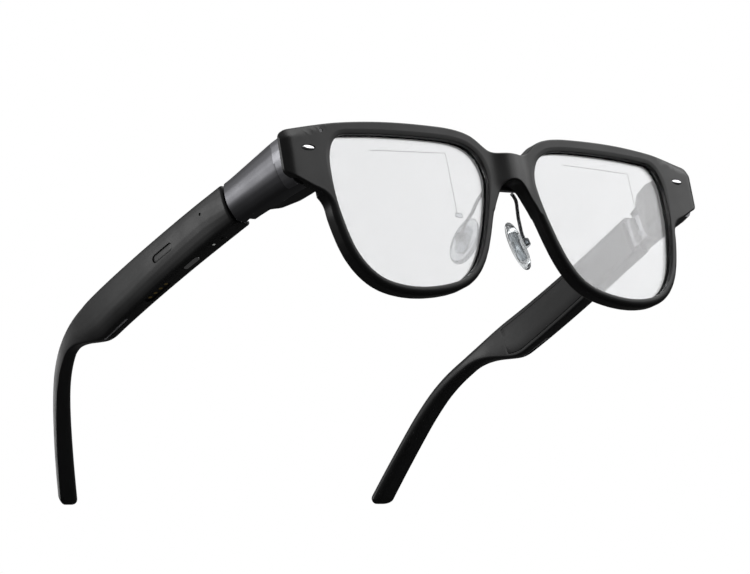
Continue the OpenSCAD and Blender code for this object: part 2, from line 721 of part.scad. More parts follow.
front_frame();
lens_right();
lens_left();
waveguide_right();
waveguide_left();
rear_rim_right();
rear_rim_left();
rivet_right();
rivet_left();
sensor_window();
nose_bar();
pad_arm_right();
pad_arm_left();
pad_core_right();
pad_core_left();
nose_pad_right();
nose_pad_left();
sleeve_right();
sleeve_left();
light_engine_right();
light_engine_left();
engine_cover_right();
engine_cover_left();
hinge_bracket_right();
hinge_bracket_left();
hinge_pin_right();
hinge_pin_left();
temple_knuckle_right();
temple_knuckle_left();
temple_shell_right();
temple_shell_left();
inner_cover_right();
inner_cover_left();
battery_right();
battery_left();
main_board();
radio_board();
speaker_right();
speaker_left();
speaker_grille_right();
speaker_grille_left();
tip_core_right();
tip_core_left();
side_button();
power_button();
contact_block();
contact_pins();
status_light();
microphones();
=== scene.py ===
"""Display glasses: the finished look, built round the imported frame.

Sizes are in millimetres in the wear frame while a piece is shaped: X to the
wearer's left, Y from the front back along the temples, Z up. A last step
places each mesh on the table, in metres.
"""

import json
import math

import bmesh
import bpy
from mathutils import Matrix, Vector


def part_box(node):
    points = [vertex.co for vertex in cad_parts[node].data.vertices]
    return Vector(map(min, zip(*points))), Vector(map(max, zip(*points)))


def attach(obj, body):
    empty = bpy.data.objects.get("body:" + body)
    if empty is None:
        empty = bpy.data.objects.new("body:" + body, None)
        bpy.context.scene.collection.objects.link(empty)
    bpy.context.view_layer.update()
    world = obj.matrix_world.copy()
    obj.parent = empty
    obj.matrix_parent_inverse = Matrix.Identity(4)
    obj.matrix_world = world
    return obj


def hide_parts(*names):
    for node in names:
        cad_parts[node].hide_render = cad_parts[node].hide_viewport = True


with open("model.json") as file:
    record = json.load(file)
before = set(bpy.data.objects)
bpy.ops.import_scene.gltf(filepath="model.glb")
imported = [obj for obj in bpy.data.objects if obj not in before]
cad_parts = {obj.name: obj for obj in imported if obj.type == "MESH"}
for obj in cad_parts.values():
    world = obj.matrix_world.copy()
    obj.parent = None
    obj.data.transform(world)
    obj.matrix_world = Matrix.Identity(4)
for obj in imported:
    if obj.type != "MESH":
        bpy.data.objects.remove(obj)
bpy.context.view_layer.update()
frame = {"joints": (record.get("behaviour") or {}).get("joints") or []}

bl_info = {
    "name": "Display glasses",
    "version": (1, 0, 0),
    "blender": (4, 5, 0),
    "location": "View3D > Sidebar > Glasses",
    "description": "Builds the pieces of a pair of display glasses on their frame",
    "category": "Add Mesh",
}

MM = 0.001
SIDES = (("left", 1), ("right", -1))

# Outline of a lens opening, as shares of its half width and half height,
# from the temple side round over the top to the nose and back under
EYE = (
    (1, 0.3), (0.98, 0.7), (0.86, 0.93), (0.6, 0.98), (0, 1), (-0.6, 0.98),
    (-0.86, 0.88), (-0.98, 0.68), (-1, 0.4), (-0.9, -0.06), (-0.72, -0.56),
    (-0.48, -0.85), (-0.1, -0.98), (0.3, -0.99), (0.62, -0.87), (0.84, -0.57),
    (0.96, -0.1),
)


def linear(hex_colour):
    """An sRGB hex colour as linear red, green and blue."""
    parts = [int(hex_colour[i:i + 2], 16) / 255 for i in (1, 3, 5)]
    return tuple(c / 12.92 if c <= 0.04045 else ((c + 0.055) / 1.055) ** 2.4 for c in parts)


def length(name, description, default_mm):
    """A length property, given in millimetres and kept in metres."""
    return bpy.props.FloatProperty(
        name=name, description=description, default=default_mm * MM,
        min=0.0, unit="LENGTH", precision=5,
    )


def colour(name, description, hex_colour):
    """A colour property."""
    return bpy.props.FloatVectorProperty(
        name=name, description=description, subtype="COLOR", size=3,
        min=0.0, max=1.0, default=linear(hex_colour),
    )


class FrontSizes(bpy.types.PropertyGroup):
    """Sizes of the front."""

    half_width: length("Half width", "From the middle to an end piece", 73.4)
    lens_width: length("Lens width", "Width of one lens opening", 51.6)
    lens_height: length("Lens height", "Height of one lens opening", 43.4)
    bridge: length("Bridge", "Distance between the lens openings", 17.6)
    depth: length("Depth", "From the face of the front to its back", 4.4)
    rim: length("Rim", "Width of the rim round a lens", 2.4)
    brow: length("Brow", "Extra width of the rim above a lens", 2.9)
    end_depth: length("End depth", "Depth of the end pieces", 2.2)
    wrap_radius: length("Wrap radius", "Radius of the wrap round the face", 757)
    lean: bpy.props.FloatProperty(
        name="Lean", description="Forward lean of the top of the front",
        default=math.radians(9.7), unit="ROTATION",
    )
    bridge_bulge: length("Bridge bulge", "How far the bridge stands forward", 1.5)
    lens_chamfer: length("Lens chamfer", "Width of the slope round the lens", 1.3)


class TempleSizes(bpy.types.PropertyGroup):
    """Sizes of the temples and the hinge sleeves."""

    top: length("Top", "Height of the temple's top edge", 13)
    start_height: length("Height at hinge", "Height of a temple at the hinge", 11.6)
    heel_height: length("Height at heel", "Height where the deep part ends", 13)
    tip_height: length("Tip height", "Height of the slim part", 4.6)
    start_thickness: length("Thickness at hinge", "Thickness at the hinge", 7)
    neck_thickness: length("Neck thickness", "Thickness where the deep part ends", 5.2)
    tip_thickness: length("Tip thickness", "Thickness of the slim part", 4.4)
    deep_length: length("Deep length", "Length of the deep part", 66)
    hinge: length("Hinge", "Distance of the hinge pin behind the front", 28.4)
    gap: length("Gap", "Open gap between a sleeve and its temple", 0.9)
    barrel: length("Barrel", "Radius of the hinge barrels", 1.8)
    splay: bpy.props.FloatProperty(
        name="Splay", description="Outward splay of the temples",
        default=math.radians(6.2), unit="ROTATION",
    )


class NoseSizes(bpy.types.PropertyGroup):
    """Sizes of the nose pads and their arms."""

    pad_length: length("Pad length", "Length of a nose pad", 14.5)
    pad_width: length("Pad width", "Width of a nose pad", 8)
    pad_thickness: length("Pad thickness", "Thickness of a nose pad", 2.4)
    wire: length("Wire", "Radius of the pad arm wire", 0.5)


class Finishes(bpy.types.PropertyGroup):
    """Colours of the main finishes."""

    front: colour("Front", "Moulded nylon of the front", "#0a0a0b")
    temple: colour("Temple", "Soft-touch paint of the temples", "#0c0c0d")
    sleeve: colour("Sleeve", "Anodised aluminium of the sleeves", "#6a6a6d")
    lens: colour("Lens", "Faint grey of the lenses", "#dcdcdd")
    pad: colour("Pad", "Silicone of the nose pads", "#dfe2e4")


def sizes(group):
    """The sizes of a property group: lengths in millimetres, angles in radians."""
    found = {}
    for name, prop in group.bl_rna.properties.items():
        if prop.type == "FLOAT" and not prop.is_array:
            value = getattr(group, name)
            found[name] = value / MM if prop.unit == "LENGTH" else value
    return found


# Curves and outlines

def catmull(a, b, c, d, t):
    """A point at t between b and c on a smooth curve through four values."""
    return 0.5 * (
        2 * b + (c - a) * t + (2 * a - 5 * b + 4 * c - d) * t * t
        + (3 * b - a - 3 * c + d) * t * t * t
    )


def closed_curve(points, steps):
    """A smooth closed curve through points, with some steps between each two."""
    count = len(points)
    curve = []
    for i in range(count):
        four = [Vector(points[(i + k) % count]) for k in (-1, 0, 1, 2)]
        for k in range(steps):
            curve.append(catmull(*four, k / steps))
    return curve


def open_curve(points, steps):
    """A smooth open curve through points, with some steps between each two."""
    ends = [points[0], *points, points[-1]]
    curve = []
    for i in range(len(points) - 1):
        four = [Vector(p) for p in ends[i:i + 4]]
        for k in range(steps):
            curve.append(catmull(*four, k / steps))
    curve.append(Vector(points[-1]))
    return curve


def respaced(points, step):
    """A closed run of points, spaced evenly along the same line."""
    count = len(points)
    lengths = [(points[(i + 1) % count] - points[i]).length for i in range(count)]
    total = sum(lengths)
    wanted = max(8, round(total / step))
    spaced = []
    i = 0
    passed = 0.0
    for k in range(wanted):
        at = total * k / wanted
        while passed + lengths[i] < at:
            passed += lengths[i]
            i += 1
        share = (at - passed) / max(lengths[i], 1e-9)
        spaced.append(points[i].lerp(points[(i + 1) % count], share))
    return spaced


def softened(points, rounds):
    """A closed run of points with its corners rounded a little each round."""
    for _ in range(rounds):
        count = len(points)
        points = [
            points[i] * 0.5 + (points[i - 1] + points[(i + 1) % count]) * 0.25
            for i in range(count)
        ]
    return points


def side_normals(points):
    """Unit vectors that point outwards from a closed run that turns left."""
    count = len(points)
    normals = []
    for i in range(count):
        along = points[(i + 1) % count] - points[i - 1]
        normals.append(Vector((along[1], -along[0])).normalized())
    return normals


def smooth(low, high, value):
    """0 below low, 1 above high, and a smooth rise between."""
    t = min(1.0, max(0.0, (value - low) / (high - low)))
    return t * t * (3 - 2 * t)


def mix(a, b, t):
    """Between a and b, at t held to 0 and 1."""
    return a + (b - a) * min(1.0, max(0.0, t))


def rounded(corners, arc_steps, between=0):
    """A closed outline of corners (x, y, radius), each rounded with an arc."""
    count = len(corners)
    ring = []
    for i in range(count):
        before = Vector(corners[i - 1][:2])
        here = Vector(corners[i][:2])
        after = Vector(corners[(i + 1) % count][:2])
        to_before = before - here
        to_after = after - here
        half = to_before.angle(to_after) / 2
        reach = min(
            corners[i][2] / math.tan(half),
            0.48 * to_before.length, 0.48 * to_after.length,
        )
        radius = reach * math.tan(half)
        inward = (to_before.normalized() + to_after.normalized()).normalized()
        centre = here + inward * (radius / math.sin(half))
        first = here + to_before.normalized() * reach - centre
        last = here + to_after.normalized() * reach - centre
        turn = first.angle_signed(last)
        for k in range(arc_steps + 1):
            ring.append(centre + Matrix.Rotation(-turn * k / arc_steps, 2) @ first)
    if not between:
        return ring
    full = []
    per_corner = arc_steps + 1
    for i, point in enumerate(ring):
        full.append(point)
        if i % per_corner == per_corner - 1:
            nxt = ring[(i + 1) % len(ring)]
            for k in range(1, between + 1):
                full.append(point.lerp(nxt, k / (between + 1)))
    return full


# Mesh building

def loft(bm, rings, capped=True):
    """A skin through closed rings of equal count, the first ring extruded on."""
    first = [bm.verts.new(p) for p in rings[0]]
    count = len(first)
    edges = [bm.edges.new((first[i], first[(i + 1) % count])) for i in range(count)]
    if capped:
        bm.faces.new(first)
    current = first
    for ring in rings[1:]:
        grown = bmesh.ops.extrude_edge_only(bm, edges=edges)["geom"]
        verts = [g for g in grown if isinstance(g, bmesh.types.BMVert)]
        known = set(current)
        pair = {}
        for v in verts:
            for e in v.link_edges:
                other = e.other_vert(v)
                if other in known:
                    pair[other] = v
        following = [pair[v] for v in current]
        for v, place in zip(following, ring):
            v.co = place
        edges = [
            bm.edges.get((following[i], following[(i + 1) % count])) for i in range(count)
        ]
        current = following
    if capped:
        bm.faces.new(current)
    return first, current


def edge_loop(verts):
    """The edges round a closed run of verts."""
    count = len(verts)
    return [
        e for e in (
            next((x for x in verts[i].link_edges
                  if x.other_vert(verts[i]) is verts[(i + 1) % count]), None)
            for i in range(count)
        ) if e is not None
    ]


def circle(count, radius=1.0):
    """Points round a circle."""
    return [
        Vector((math.cos(a), math.sin(a))) * radius
        for a in (2 * math.pi * k / count for k in range(count))
    ]


def tube(bm, points, radius, sides):
    """A round bar along points, its frame carried on without a twist."""
    rings = []
    across = None
    for i, here in enumerate(points):
        ahead = points[min(i + 1, len(points) - 1)] - points[max(i - 1, 0)]
        along = ahead.normalized()
        if across is None:
            across = along.orthogonal().normalized()
        across = (across - along * across.dot(along)).normalized()
        up = along.cross(across)
        rings.append([here + across * p.x + up * p.y for p in circle(sides, radius)])
    loft(bm, rings)


def sided(bm, sign):
    """A shape made for the left, mirrored when it is for the right."""
    if sign < 0:
        bmesh.ops.scale(bm, verts=bm.verts, vec=(-1, 1, 1))
        bmesh.ops.reverse_faces(bm, faces=bm.faces)
    return bm


def wear_to_table():
    """The matrix from wear-frame millimetres to metres on the table, from a hinge."""
    joint = next(j for j in frame["joints"] if j["name"] == "temple_left_fold")
    axis = Vector(joint["axis"]).normalized()
    pitch = math.atan2(axis.y, axis.z)
    turn = Matrix.Rotation(-pitch, 4, "X")
    pin = Vector((pivot_x(), temple_sizes()["hinge"], 7)) * MM
    return (Matrix.Translation(Vector(joint["pos_m"])) @ turn
            @ Matrix.Translation(-pin) @ Matrix.Scale(MM, 4))


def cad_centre(node):
    """The middle of a frame node at rest, in wear-frame millimetres."""
    low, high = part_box(node)
    return wear_to_table().inverted() @ ((Vector(low) + Vector(high)) / 2)


def piece(name, bm, materials, body, replaces=(), sharp=0.7):
    """Puts a finished shape on the table and hangs it on its CAD body."""
    bmesh.ops.remove_doubles(bm, verts=bm.verts, dist=0.0005)
    bmesh.ops.recalc_face_normals(bm, faces=bm.faces)
    bmesh.ops.transform(bm, matrix=wear_to_table(), verts=bm.verts)
    mesh = bpy.data.meshes.new(name)
    bm.to_mesh(mesh)
    bm.free()
    mesh.shade_smooth()
    mesh.set_sharp_from_angle(angle=sharp)
    for material in materials:
        mesh.materials.append(material)
    made = bpy.data.objects.new(name, mesh)
    bpy.context.scene.collection.objects.link(made)
    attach(made, body)
    if replaces:
        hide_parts(*replaces)
    return made


def pair(name, build, key, node, slot, sharp=0.7, body="front"):
    """Adds a shape built for the left side, and its mirror for the right."""
    for side, sign in SIDES:
        piece(f"{name}_{side}", sided(build(), sign), [finish(key)],
              body if body == "front" else f"{body}_{side}", [f"{node}_{side}"], sharp)


def even_shading(made):
    """Shades large faces flat and leaves the bends to the small faces between them."""
    change = made.modifiers.new("even_shading", "WEIGHTED_NORMAL")
    change.keep_sharp = True
    change.weight = 80
    return made


def cut(made, cutter_bm):
    """Cuts a shape, given in the wear frame, out of a finished piece."""
    bmesh.ops.recalc_face_normals(cutter_bm, faces=cutter_bm.faces)
    bmesh.ops.transform(cutter_bm, matrix=wear_to_table(), verts=cutter_bm.verts)
    mesh = bpy.data.meshes.new("cutter")
    cutter_bm.to_mesh(mesh)
    cutter_bm.free()
    for material in made.data.materials:
        mesh.materials.append(material)
    if len(made.data.materials) > 1:
        mesh.polygons.foreach_set("material_index", [1] * len(mesh.polygons))
    tool = bpy.data.objects.new("cutter", mesh)
    bpy.context.scene.collection.objects.link(tool)
    change = made.modifiers.new("cut", "BOOLEAN")
    change.operation = "DIFFERENCE"
    change.solver = "EXACT"
    change.object = tool
    bpy.context.view_layer.update()
    graph = bpy.context.evaluated_depsgraph_get()
    result = bpy.data.meshes.new_from_object(made.evaluated_get(graph))
    made.modifiers.remove(change)
    old = made.data
    made.data = result
    bpy.data.meshes.remove(old)
    bpy.data.objects.remove(tool)
    bpy.data.meshes.remove(mesh)
    made.data.shade_smooth()
    made.data.set_sharp_from_angle(angle=0.6)
    return made


# Sizes that several pieces share

def front_sizes():
    """Sizes of the front, in millimetres."""
    return sizes(bpy.context.scene.glasses_front)


def temple_sizes():
    """Sizes of the temples, in millimetres."""
    return sizes(bpy.context.scene.glasses_temple)


def nose_sizes():
    """Sizes of the nose pads, in millimetres."""
    return sizes(bpy.context.scene.glasses_nose)


# Where the pale band at the front of a sleeve ends, its paleness partly a painted highlight, and
# where the sleeve begins
BAND_END = 7.6
SLEEVE_START = 3


def sleeve_outer(y):
    """Outer face of a sleeve at a distance behind the front."""
    turned = max(0.0, BAND_END - y) * 0.12
    return front_sizes()["half_width"] - 0.1 + math.sin(temple_sizes()["splay"]) * y - turned


def temple_start():
    """Outer face of a temple at the hinge."""
    f = front_sizes()
    t = temple_sizes()
    return f["half_width"] - 0.1 + math.sin(t["splay"]) * t["hinge"]


def pivot_x():
    """Sideways place of the hinge pin."""
    t = temple_sizes()
    return temple_start() - t["start_thickness"] + t["barrel"] + 0.25


def sleeve_inner(y):
    """Inner face of a sleeve at a distance behind the front."""
    t = temple_sizes()
    end = t["hinge"] - t["gap"] / 2
    return temple_start() - t["start_thickness"] - (end - y) * 0.14


def trace(start, heading, runs, step=1.0):
    """A path as rows of (distance, across, along, heading in degrees)."""
    rows = [(0.0, start[0], start[1], heading)]
    for run, turn in runs:
        count = math.ceil(run / step)
        for _ in range(count):
            gone, across, along, angle = rows[-1]
            middle = math.radians(angle + turn / count / 2)
            reach = run / count
            rows.append((
                gone + reach, across + reach * math.sin(middle),
                along + reach * math.cos(middle), angle + turn / count,
            ))
    return rows


def lookup(rows, key, column, value):
    """A column's value where another column reaches a value."""
    if value <= rows[0][key]:
        return rows[0][column]
    for before, after in zip(rows, rows[1:]):
        if value <= after[key]:
            share = (value - before[key]) / (after[key] - before[key])
            return before[column] + (after[column] - before[column]) * share
    return rows[-1][column]


class TemplePath:
    """The curves that a temple follows, seen from above and from the side."""

    def __init__(self):
        t = temple_sizes()
        self.t = t
        deep = t["deep_length"]
        start = t["hinge"] + t["gap"] / 2
        self.plan = trace((temple_start(), start), math.degrees(t["splay"]), (
            (16, -0.8), (deep - 30, -4.2), (12, -2.6), (28, -15), (16, -5), (36, -6),
        ))
        self.side = trace((0, start), 0, (
            (deep, 0), (10, 6), (15, 8), (14, 20), (10, 7), (26, 4),
        ))
        self.length = deep + 75

    def flare(self, s):
        """0 on the deep part, rising to 1 at the paddle-shaped tip."""
        return smooth(82, self.length - 4, s)

    def thickness(self, s):
        """Thickness at a distance along the temple."""
        t = self.t
        deep = t["deep_length"]
        if s < deep:
            return mix(t["start_thickness"], t["neck_thickness"], s / deep)
        return mix(t["neck_thickness"], t["tip_thickness"], (s - deep) / 22) + 1.3 * self.flare(s)

    def height(self, s):
        """Height at a distance along the temple."""
        t = self.t
        deep = t["deep_length"] - 4
        if s < deep:
            return mix(t["start_height"], t["heel_height"], s / deep)
        slim = mix(t["heel_height"], t["tip_height"], smooth(0, 26, s - deep))
        return slim - 1.0 * self.flare(s)

    def side_point(self, s, down):
        """(along, up) of a point a distance down from the top edge."""
        angle = math.radians(lookup(self.side, 0, 3, s))
        return (
            lookup(self.side, 0, 2, s) - down * math.sin(angle),
            self.t["top"] - lookup(self.side, 0, 1, s) - down * math.cos(angle),
        )

    def place(self, s, inward, down):
        """A point on a temple, from its outer and top faces."""
        along, up = self.side_point(s, down)
        heading = math.radians(lookup(self.plan, 2, 3, along))
        outer = lookup(self.plan, 2, 1, along) + 0.6 * self.flare(s)
        return Vector((outer - inward / math.cos(heading), along, up))


# Materials

PLASTIC_IOR = 1.5


def add(tree, kind, values=(), links=(), **settings):
    """Adds a node with its settings, its sockets' values and its links."""
    made = tree.nodes.new(kind)
    for name, value in settings.items():
        setattr(made, name, value)
    for socket, value in values:
        made.inputs[socket].default_value = value
    for socket, source in links:
        tree.links.new(source, made.inputs[socket])
    return made


def blank(name):
    """A material with an empty node tree, and its output."""
    material = bpy.data.materials.new(name)
    material.use_nodes = True
    material.node_tree.nodes.clear()
    tree = material.node_tree
    return material, tree, add(tree, "ShaderNodeOutputMaterial")


def gloss_map(tree, source, low, high):
    """A value that runs from low to high with a noise."""
    return add(
        tree, "ShaderNodeMapRange",
        values=[("From Min", 0.3), ("From Max", 0.7), ("To Min", low), ("To Max", high)],
        links=[("Value", source.outputs["Fac"])],
    )


def surface(name, base, roughness, grain_mm, bump_um, metallic=0.0, uneven=0.05,
            stretch=(1, 1, 1), spread=0.12):
    """A finish with a fine grain, uneven gloss and slight colour variation.

    grain_mm is the size of the texture's grain and bump_um its height.
    """
    material, tree, out = blank(name)
    where = add(tree, "ShaderNodeTexCoord")
    turned = add(
        tree, "ShaderNodeMapping", values=[("Scale", stretch)],
        links=[("Vector", where.outputs["Object"])],
    )
    grain = add(
        tree, "ShaderNodeTexNoise",
        values=[("Scale", 1 / (grain_mm * MM)), ("Detail", 3.0), ("Roughness", 0.6)],
        links=[("Vector", turned.outputs["Vector"])],
    )
    # broad cloudiness of the gloss, about 9 mm across, as handling leaves it
    cloud = add(
        tree, "ShaderNodeTexNoise",
        values=[("Scale", 1 / (9 * MM)), ("Detail", 4.0), ("Roughness", 0.55)],
        links=[("Vector", where.outputs["Object"])],
    )
    gloss = gloss_map(tree, cloud, roughness - uneven, roughness + uneven)
    speck = add(
        tree, "ShaderNodeMapRange",
        values=[("From Min", 0.25), ("From Max", 0.75),
                ("To Min", 1 - spread), ("To Max", 1 + spread)],
        links=[("Value", grain.outputs["Fac"])],
    )
    tinted = add(
        tree, "ShaderNodeVectorMath", operation="SCALE",
        values=[(0, base)], links=[("Scale", speck.outputs["Result"])],
    )
    bump = add(
        tree, "ShaderNodeBump",
        values=[("Strength", 1.0), ("Distance", bump_um * 1e-6)],
        links=[("Height", grain.outputs["Fac"])],
    )
    shader = add(
        tree, "ShaderNodeBsdfPrincipled",
        values=[("Metallic", metallic)],
        links=[("Base Color", tinted.outputs["Vector"]), ("Roughness", gloss.outputs["Result"]),
               ("Normal", bump.outputs["Normal"])],
    )
    if not metallic:
        shader.inputs["IOR"].default_value = PLASTIC_IOR
    tree.links.new(shader.outputs["BSDF"], out.inputs["Surface"])
    return material


def clear(name, base, roughness, ior, alpha=1.0, transmission=0.0, grain_mm=0.6, bump_um=0.6):
    """A clear finish: cast or moulded, with a very slight ripple."""
    material, tree, out = blank(name)
    where = add(tree, "ShaderNodeTexCoord")
    ripple = add(
        tree, "ShaderNodeTexNoise",
        values=[("Scale", 1 / (grain_mm * MM)), ("Detail", 2.0)],
        links=[("Vector", where.outputs["Object"])],
    )
    gloss = gloss_map(tree, ripple, max(0.0, roughness - 0.02), roughness + 0.02)
    bump = add(
        tree, "ShaderNodeBump", values=[("Strength", 0.6), ("Distance", bump_um * 1e-6)],
        links=[("Height", ripple.outputs["Fac"])],
    )
    shader = add(
        tree, "ShaderNodeBsdfPrincipled",
        values=[("Base Color", (*base, 1)), ("IOR", ior), ("Alpha", alpha),
                ("Transmission Weight", transmission)],
        links=[("Roughness", gloss.outputs["Result"]), ("Normal", bump.outputs["Normal"])],
    )
    tree.links.new(shader.outputs["BSDF"], out.inputs["Surface"])
    return material


def mesh_cloth(name, base, pitch_mm):
    """Woven acoustic mesh: dark wires, with the holes between them painted near black as painted
    shade.
    """
    material, tree, out = blank(name)
    where = add(tree, "ShaderNodeTexCoord")
    waves = [
        add(tree, "ShaderNodeTexWave", bands_direction=axis,
            values=[("Scale", 1 / (pitch_mm * MM) / 3.2), ("Distortion", 0.0)],
            links=[("Vector", where.outputs["Object"])])
        for axis in ("X", "Y")
    ]
    woven = add(
        tree, "ShaderNodeMath", operation="MAXIMUM",
        links=[(0, waves[0].outputs["Fac"]), (1, waves[1].outputs["Fac"])],
    )
    # the near-black colour of the holes is painted shade for the dark space behind the mesh
    tint = add(
        tree, "ShaderNodeMix", data_type="RGBA",
        values=[("A", (0.002, 0.002, 0.002, 1)), ("B", (*base, 1))],
        links=[("Factor", woven.outputs["Value"])],
    )
    bump = add(
        tree, "ShaderNodeBump", values=[("Distance", 40e-6)],
        links=[("Height", woven.outputs["Value"])],
    )
    shader = add(
        tree, "ShaderNodeBsdfPrincipled", values=[("Roughness", 0.6)],
        links=[("Base Color", tint.outputs["Result"]), ("Normal", bump.outputs["Normal"])],
    )
    tree.links.new(shader.outputs["BSDF"], out.inputs["Surface"])
    return material


def make_finishes():
    """Every material, by the name of the piece's finish."""
    c = bpy.context.scene.glasses_finish
    return {
        # Moulded nylon: black, satin, a spark-eroded texture that breaks up highlights
        "nylon": surface("moulded_nylon", tuple(c.front), 0.36, 0.22, 5),
        # Soft-touch paint: a dry, slightly duller black over the moulding
        "paint": surface("soft_touch_paint", tuple(c.temple), 0.4, 0.16, 4),
        # Bead-blasted and anodised aluminium: grey metal with a soft, even sheen
        "sleeve": surface("anodised_aluminium", tuple(c.sleeve), 0.38, 0.12, 2.2,
                          metallic=1.0, uneven=0.03, stretch=(1, 0.25, 1), spread=0.08),
        # Bare blasted aluminium: the paler band next to the front, a real trim whose extra
        # paleness is partly a painted highlight, standing in for the light that its turned facet
        # catches
        "band": surface("blasted_aluminium", linear("#8e8e92"), 0.34, 0.12, 2.2,
                        metallic=1.0, uneven=0.03, stretch=(1, 0.25, 1), spread=0.06),
        # Polished steel: bright, with only faint polishing marks
        "polished": surface("polished_steel", linear("#d8d8da"), 0.12, 0.3, 0.6,
                            metallic=1.0, uneven=0.03, spread=0.04),
        # Drawn stainless wire: bright metal, marked along its length
        "wire": surface("drawn_stainless_wire", linear("#8a8a8c"), 0.22, 0.2, 1.2,
                        metallic=1.0, uneven=0.04, stretch=(1, 0.3, 1), spread=0.08),
        # Machined stainless: satin metal with fine tool marks
        "steel": surface("machined_stainless", linear("#9d9da0"), 0.32, 0.15, 2,
                         metallic=1.0, uneven=0.05, stretch=(1, 1, 4), spread=0.1),
        # Hard-coated polycarbonate: clear with a faint milky veil from its coating
        "lens": clear("coated_lens", tuple(c.lens), 0.02, 1.585, transmission=1.0,
                      grain_mm=14, bump_um=2),
        # Display glass: almost invisible plate behind the lens
        "guide": clear("display_glass", linear("#e4e5e5"), 0.02, 1.8, transmission=1.0,
                       grain_mm=14, bump_um=2),
        # Ground edge of the display area: a hairline that scatters light
        "hairline": clear("ground_glass_edge", linear("#8f9396"), 0.4, 1.5, alpha=0.42),
        # Clear silicone: soft, slightly cloudy, with a wet-looking surface
        "silicone": clear("clear_silicone", tuple(c.pad), 0.12, 1.41, transmission=0.92,
                          grain_mm=1.2, bump_um=14),
        # Clear polycarbonate: harder and brighter than the silicone round it
        "socket": clear("clear_polycarbonate", linear("#d9dde0"), 0.06, 1.58, transmission=0.9,
                        grain_mm=2, bump_um=3),
        # Gold plate on brass: warm, bright contact faces with a brushed centre
        "gold": surface("gold_plate", linear("#e0bf6a"), 0.2, 0.1, 1, metallic=1.0, spread=0.06),
        # Liquid-crystal polymer of the contact block: deep matt black
        "block": surface("contact_block_polymer", linear("#080808"), 0.5, 0.12, 3),
        # Bead-blasted stainless: bright but not mirror-like
        "button": surface("blasted_stainless", linear("#f0f0f0"), 0.3, 0.12, 2.5, metallic=1.0,
                          uneven=0.04, spread=0.06),
        # Light pipe: milky acrylic that would glow when lit
        "pipe": surface("milky_acrylic", linear("#c8cac6"), 0.3, 0.4, 1, spread=0.05),
        # Smoked window: nearly black, glossy cover over the sensor
        "smoked": surface("smoked_window", linear("#3c3c40"), 0.12, 0.5, 0.6, uneven=0.03),
        # Pouch cell: crinkled aluminium foil laminate
        "foil": surface("pouch_foil", linear("#b4b6b9"), 0.35, 1.1, 40, metallic=1.0),
        # Solder mask: glossy green lacquer over the copper weave
        "board": surface("solder_mask", linear("#1d5a37"), 0.3, 0.35, 8, spread=0.25),
        # Module housings: matt glass-filled moulding
        "module": surface("glass_filled_moulding", linear("#1b1b1c"), 0.55, 0.25, 10),
        # Acoustic mesh, 0.25 mm pitch, drawn coarser than real so that it shows
        "mesh": mesh_cloth("woven_mesh", linear("#6a6a6c"), 0.25),
    }


made_finishes = {}


def finish(key):
    """One of the finishes, all made on first use."""
    if not made_finishes:
        made_finishes.update(make_finishes())
    return made_finishes[key]


# The front

# Height of a lens's top, and how far its opening's top edge lies below it
LENS_TOP = 14.9
LID_DROP = 0.8
# How far the end pieces stand out past the sleeves
END_REACH = 0.6
# Depths behind the face: the lens seat, the lens, the display glass, the ring
SEAT = 1.3
LENS_DEPTHS = (1.31, 2.59)
PLATE_DEPTHS = (2.63, 3.27)
RING_FRONT = 3.32
# A narrow flat run between a rounded edge and the face that it closes
FILL_STEP = 0.12
# The oval rivets: distance from the end, height, and half the length and width
RIVET_FROM_END = 7
RIVET_HEIGHT = 9.0
RIVET_HALF = (2.0, 0.75)


def brow_height(x):
    """Height of the brow line at x."""
    f = front_sizes()
    lens_x = (f["bridge"] + f["lens_width"]) / 2
    top = LENS_TOP + f["brow"]
    if x > lens_x:
        u = (x - lens_x) / (f["half_width"] - 1.2 - lens_x)
        return top - u * u * (top - 14.2)
    u = (lens_x - x) / f["lens_width"] * 2
    return top - u * u


def eye_outline(grow=0.0, steps=8):
    """A lens opening's outline, pushed outwards by some amount."""
    f = front_sizes()
    centre = Vector(((f["bridge"] + f["lens_width"]) / 2,
                     LENS_TOP - f["lens_height"] / 2))
    curve = [
        Vector((p.x * f["lens_width"] / 2,
                p.y * f["lens_height"] / 2 - LID_DROP * smooth(0.2, 0.9, p.y))) + centre
        for p in closed_curve(EYE, steps)
    ]
    return [p + n * grow for p, n in zip(curve, side_normals(curve))]


def front_outline():
    """The front's outer outline, turning left, seen with X to the right."""
    f = front_sizes()
    w = f["half_width"]
    top = [(0, 11.2), (2.2, 11.2), (4.4, 11.2), (6.1, 11.5), (7.6, 12.3), (9.9, 14.2),
           (11.9, 15.6), (14.4, 16.5), (17.2, 17.1), (19.8, 17.4)]
    top += [(x, brow_height(x)) for x in range(22, 72, 2)]
    end = [(w - 0.8, 14.1), (w + END_REACH, 12.8), (w + END_REACH, 8), (w + END_REACH, 2.4),
           (w - 0.5, 1.4), (w - 3, 0.2),
           (w - 7, -2.1), (w - 9.3, -3.1), (w - 10.6, -4.3), (w - 11.4, -6.2)]
    rim = [tuple(p) for p in eye_outline(f["rim"], 3)]
    below = [p for p in rim if p[1] < -7.6]
    below.sort(key=lambda p: math.atan2(p[1] + 6.8, p[0] - 34.6), reverse=True)
    arch = [(7.95, -5.6), (6.95, -3.4), (6.1, -1.9), (5.5, -0.8), (4.9, 0.5), (4, 1.7),
            (2.8, 2.65), (1.45, 3.2), (0, 3.4)]
    half = top + end + below + arch
    # right half clockwise, then its mirror back up, turned to run leftwards
    other = [(-x, z) for x, z in reversed(half[1:-1])]
    loop = [Vector(p) for p in half + other]
    loop.reverse()
    return softened(respaced(loop, 0.6), 3)


def flat_rings(outline, steps):
    """Rings on the flat front: an outline moved inwards, and back from the face.

    Each step is (inward, back), and each of these a number or one for each point.
    """
    normals = side_normals(outline)
    rings = []
    for step in steps:
        inward, back = (v if isinstance(v, list) else [v] * len(outline) for v in step)
        rings.append([
            Vector((p.x - n.x * i, b, p.y - n.y * i))
            for p, n, i, b in zip(outline, normals, inward, back)
        ])
    return rings


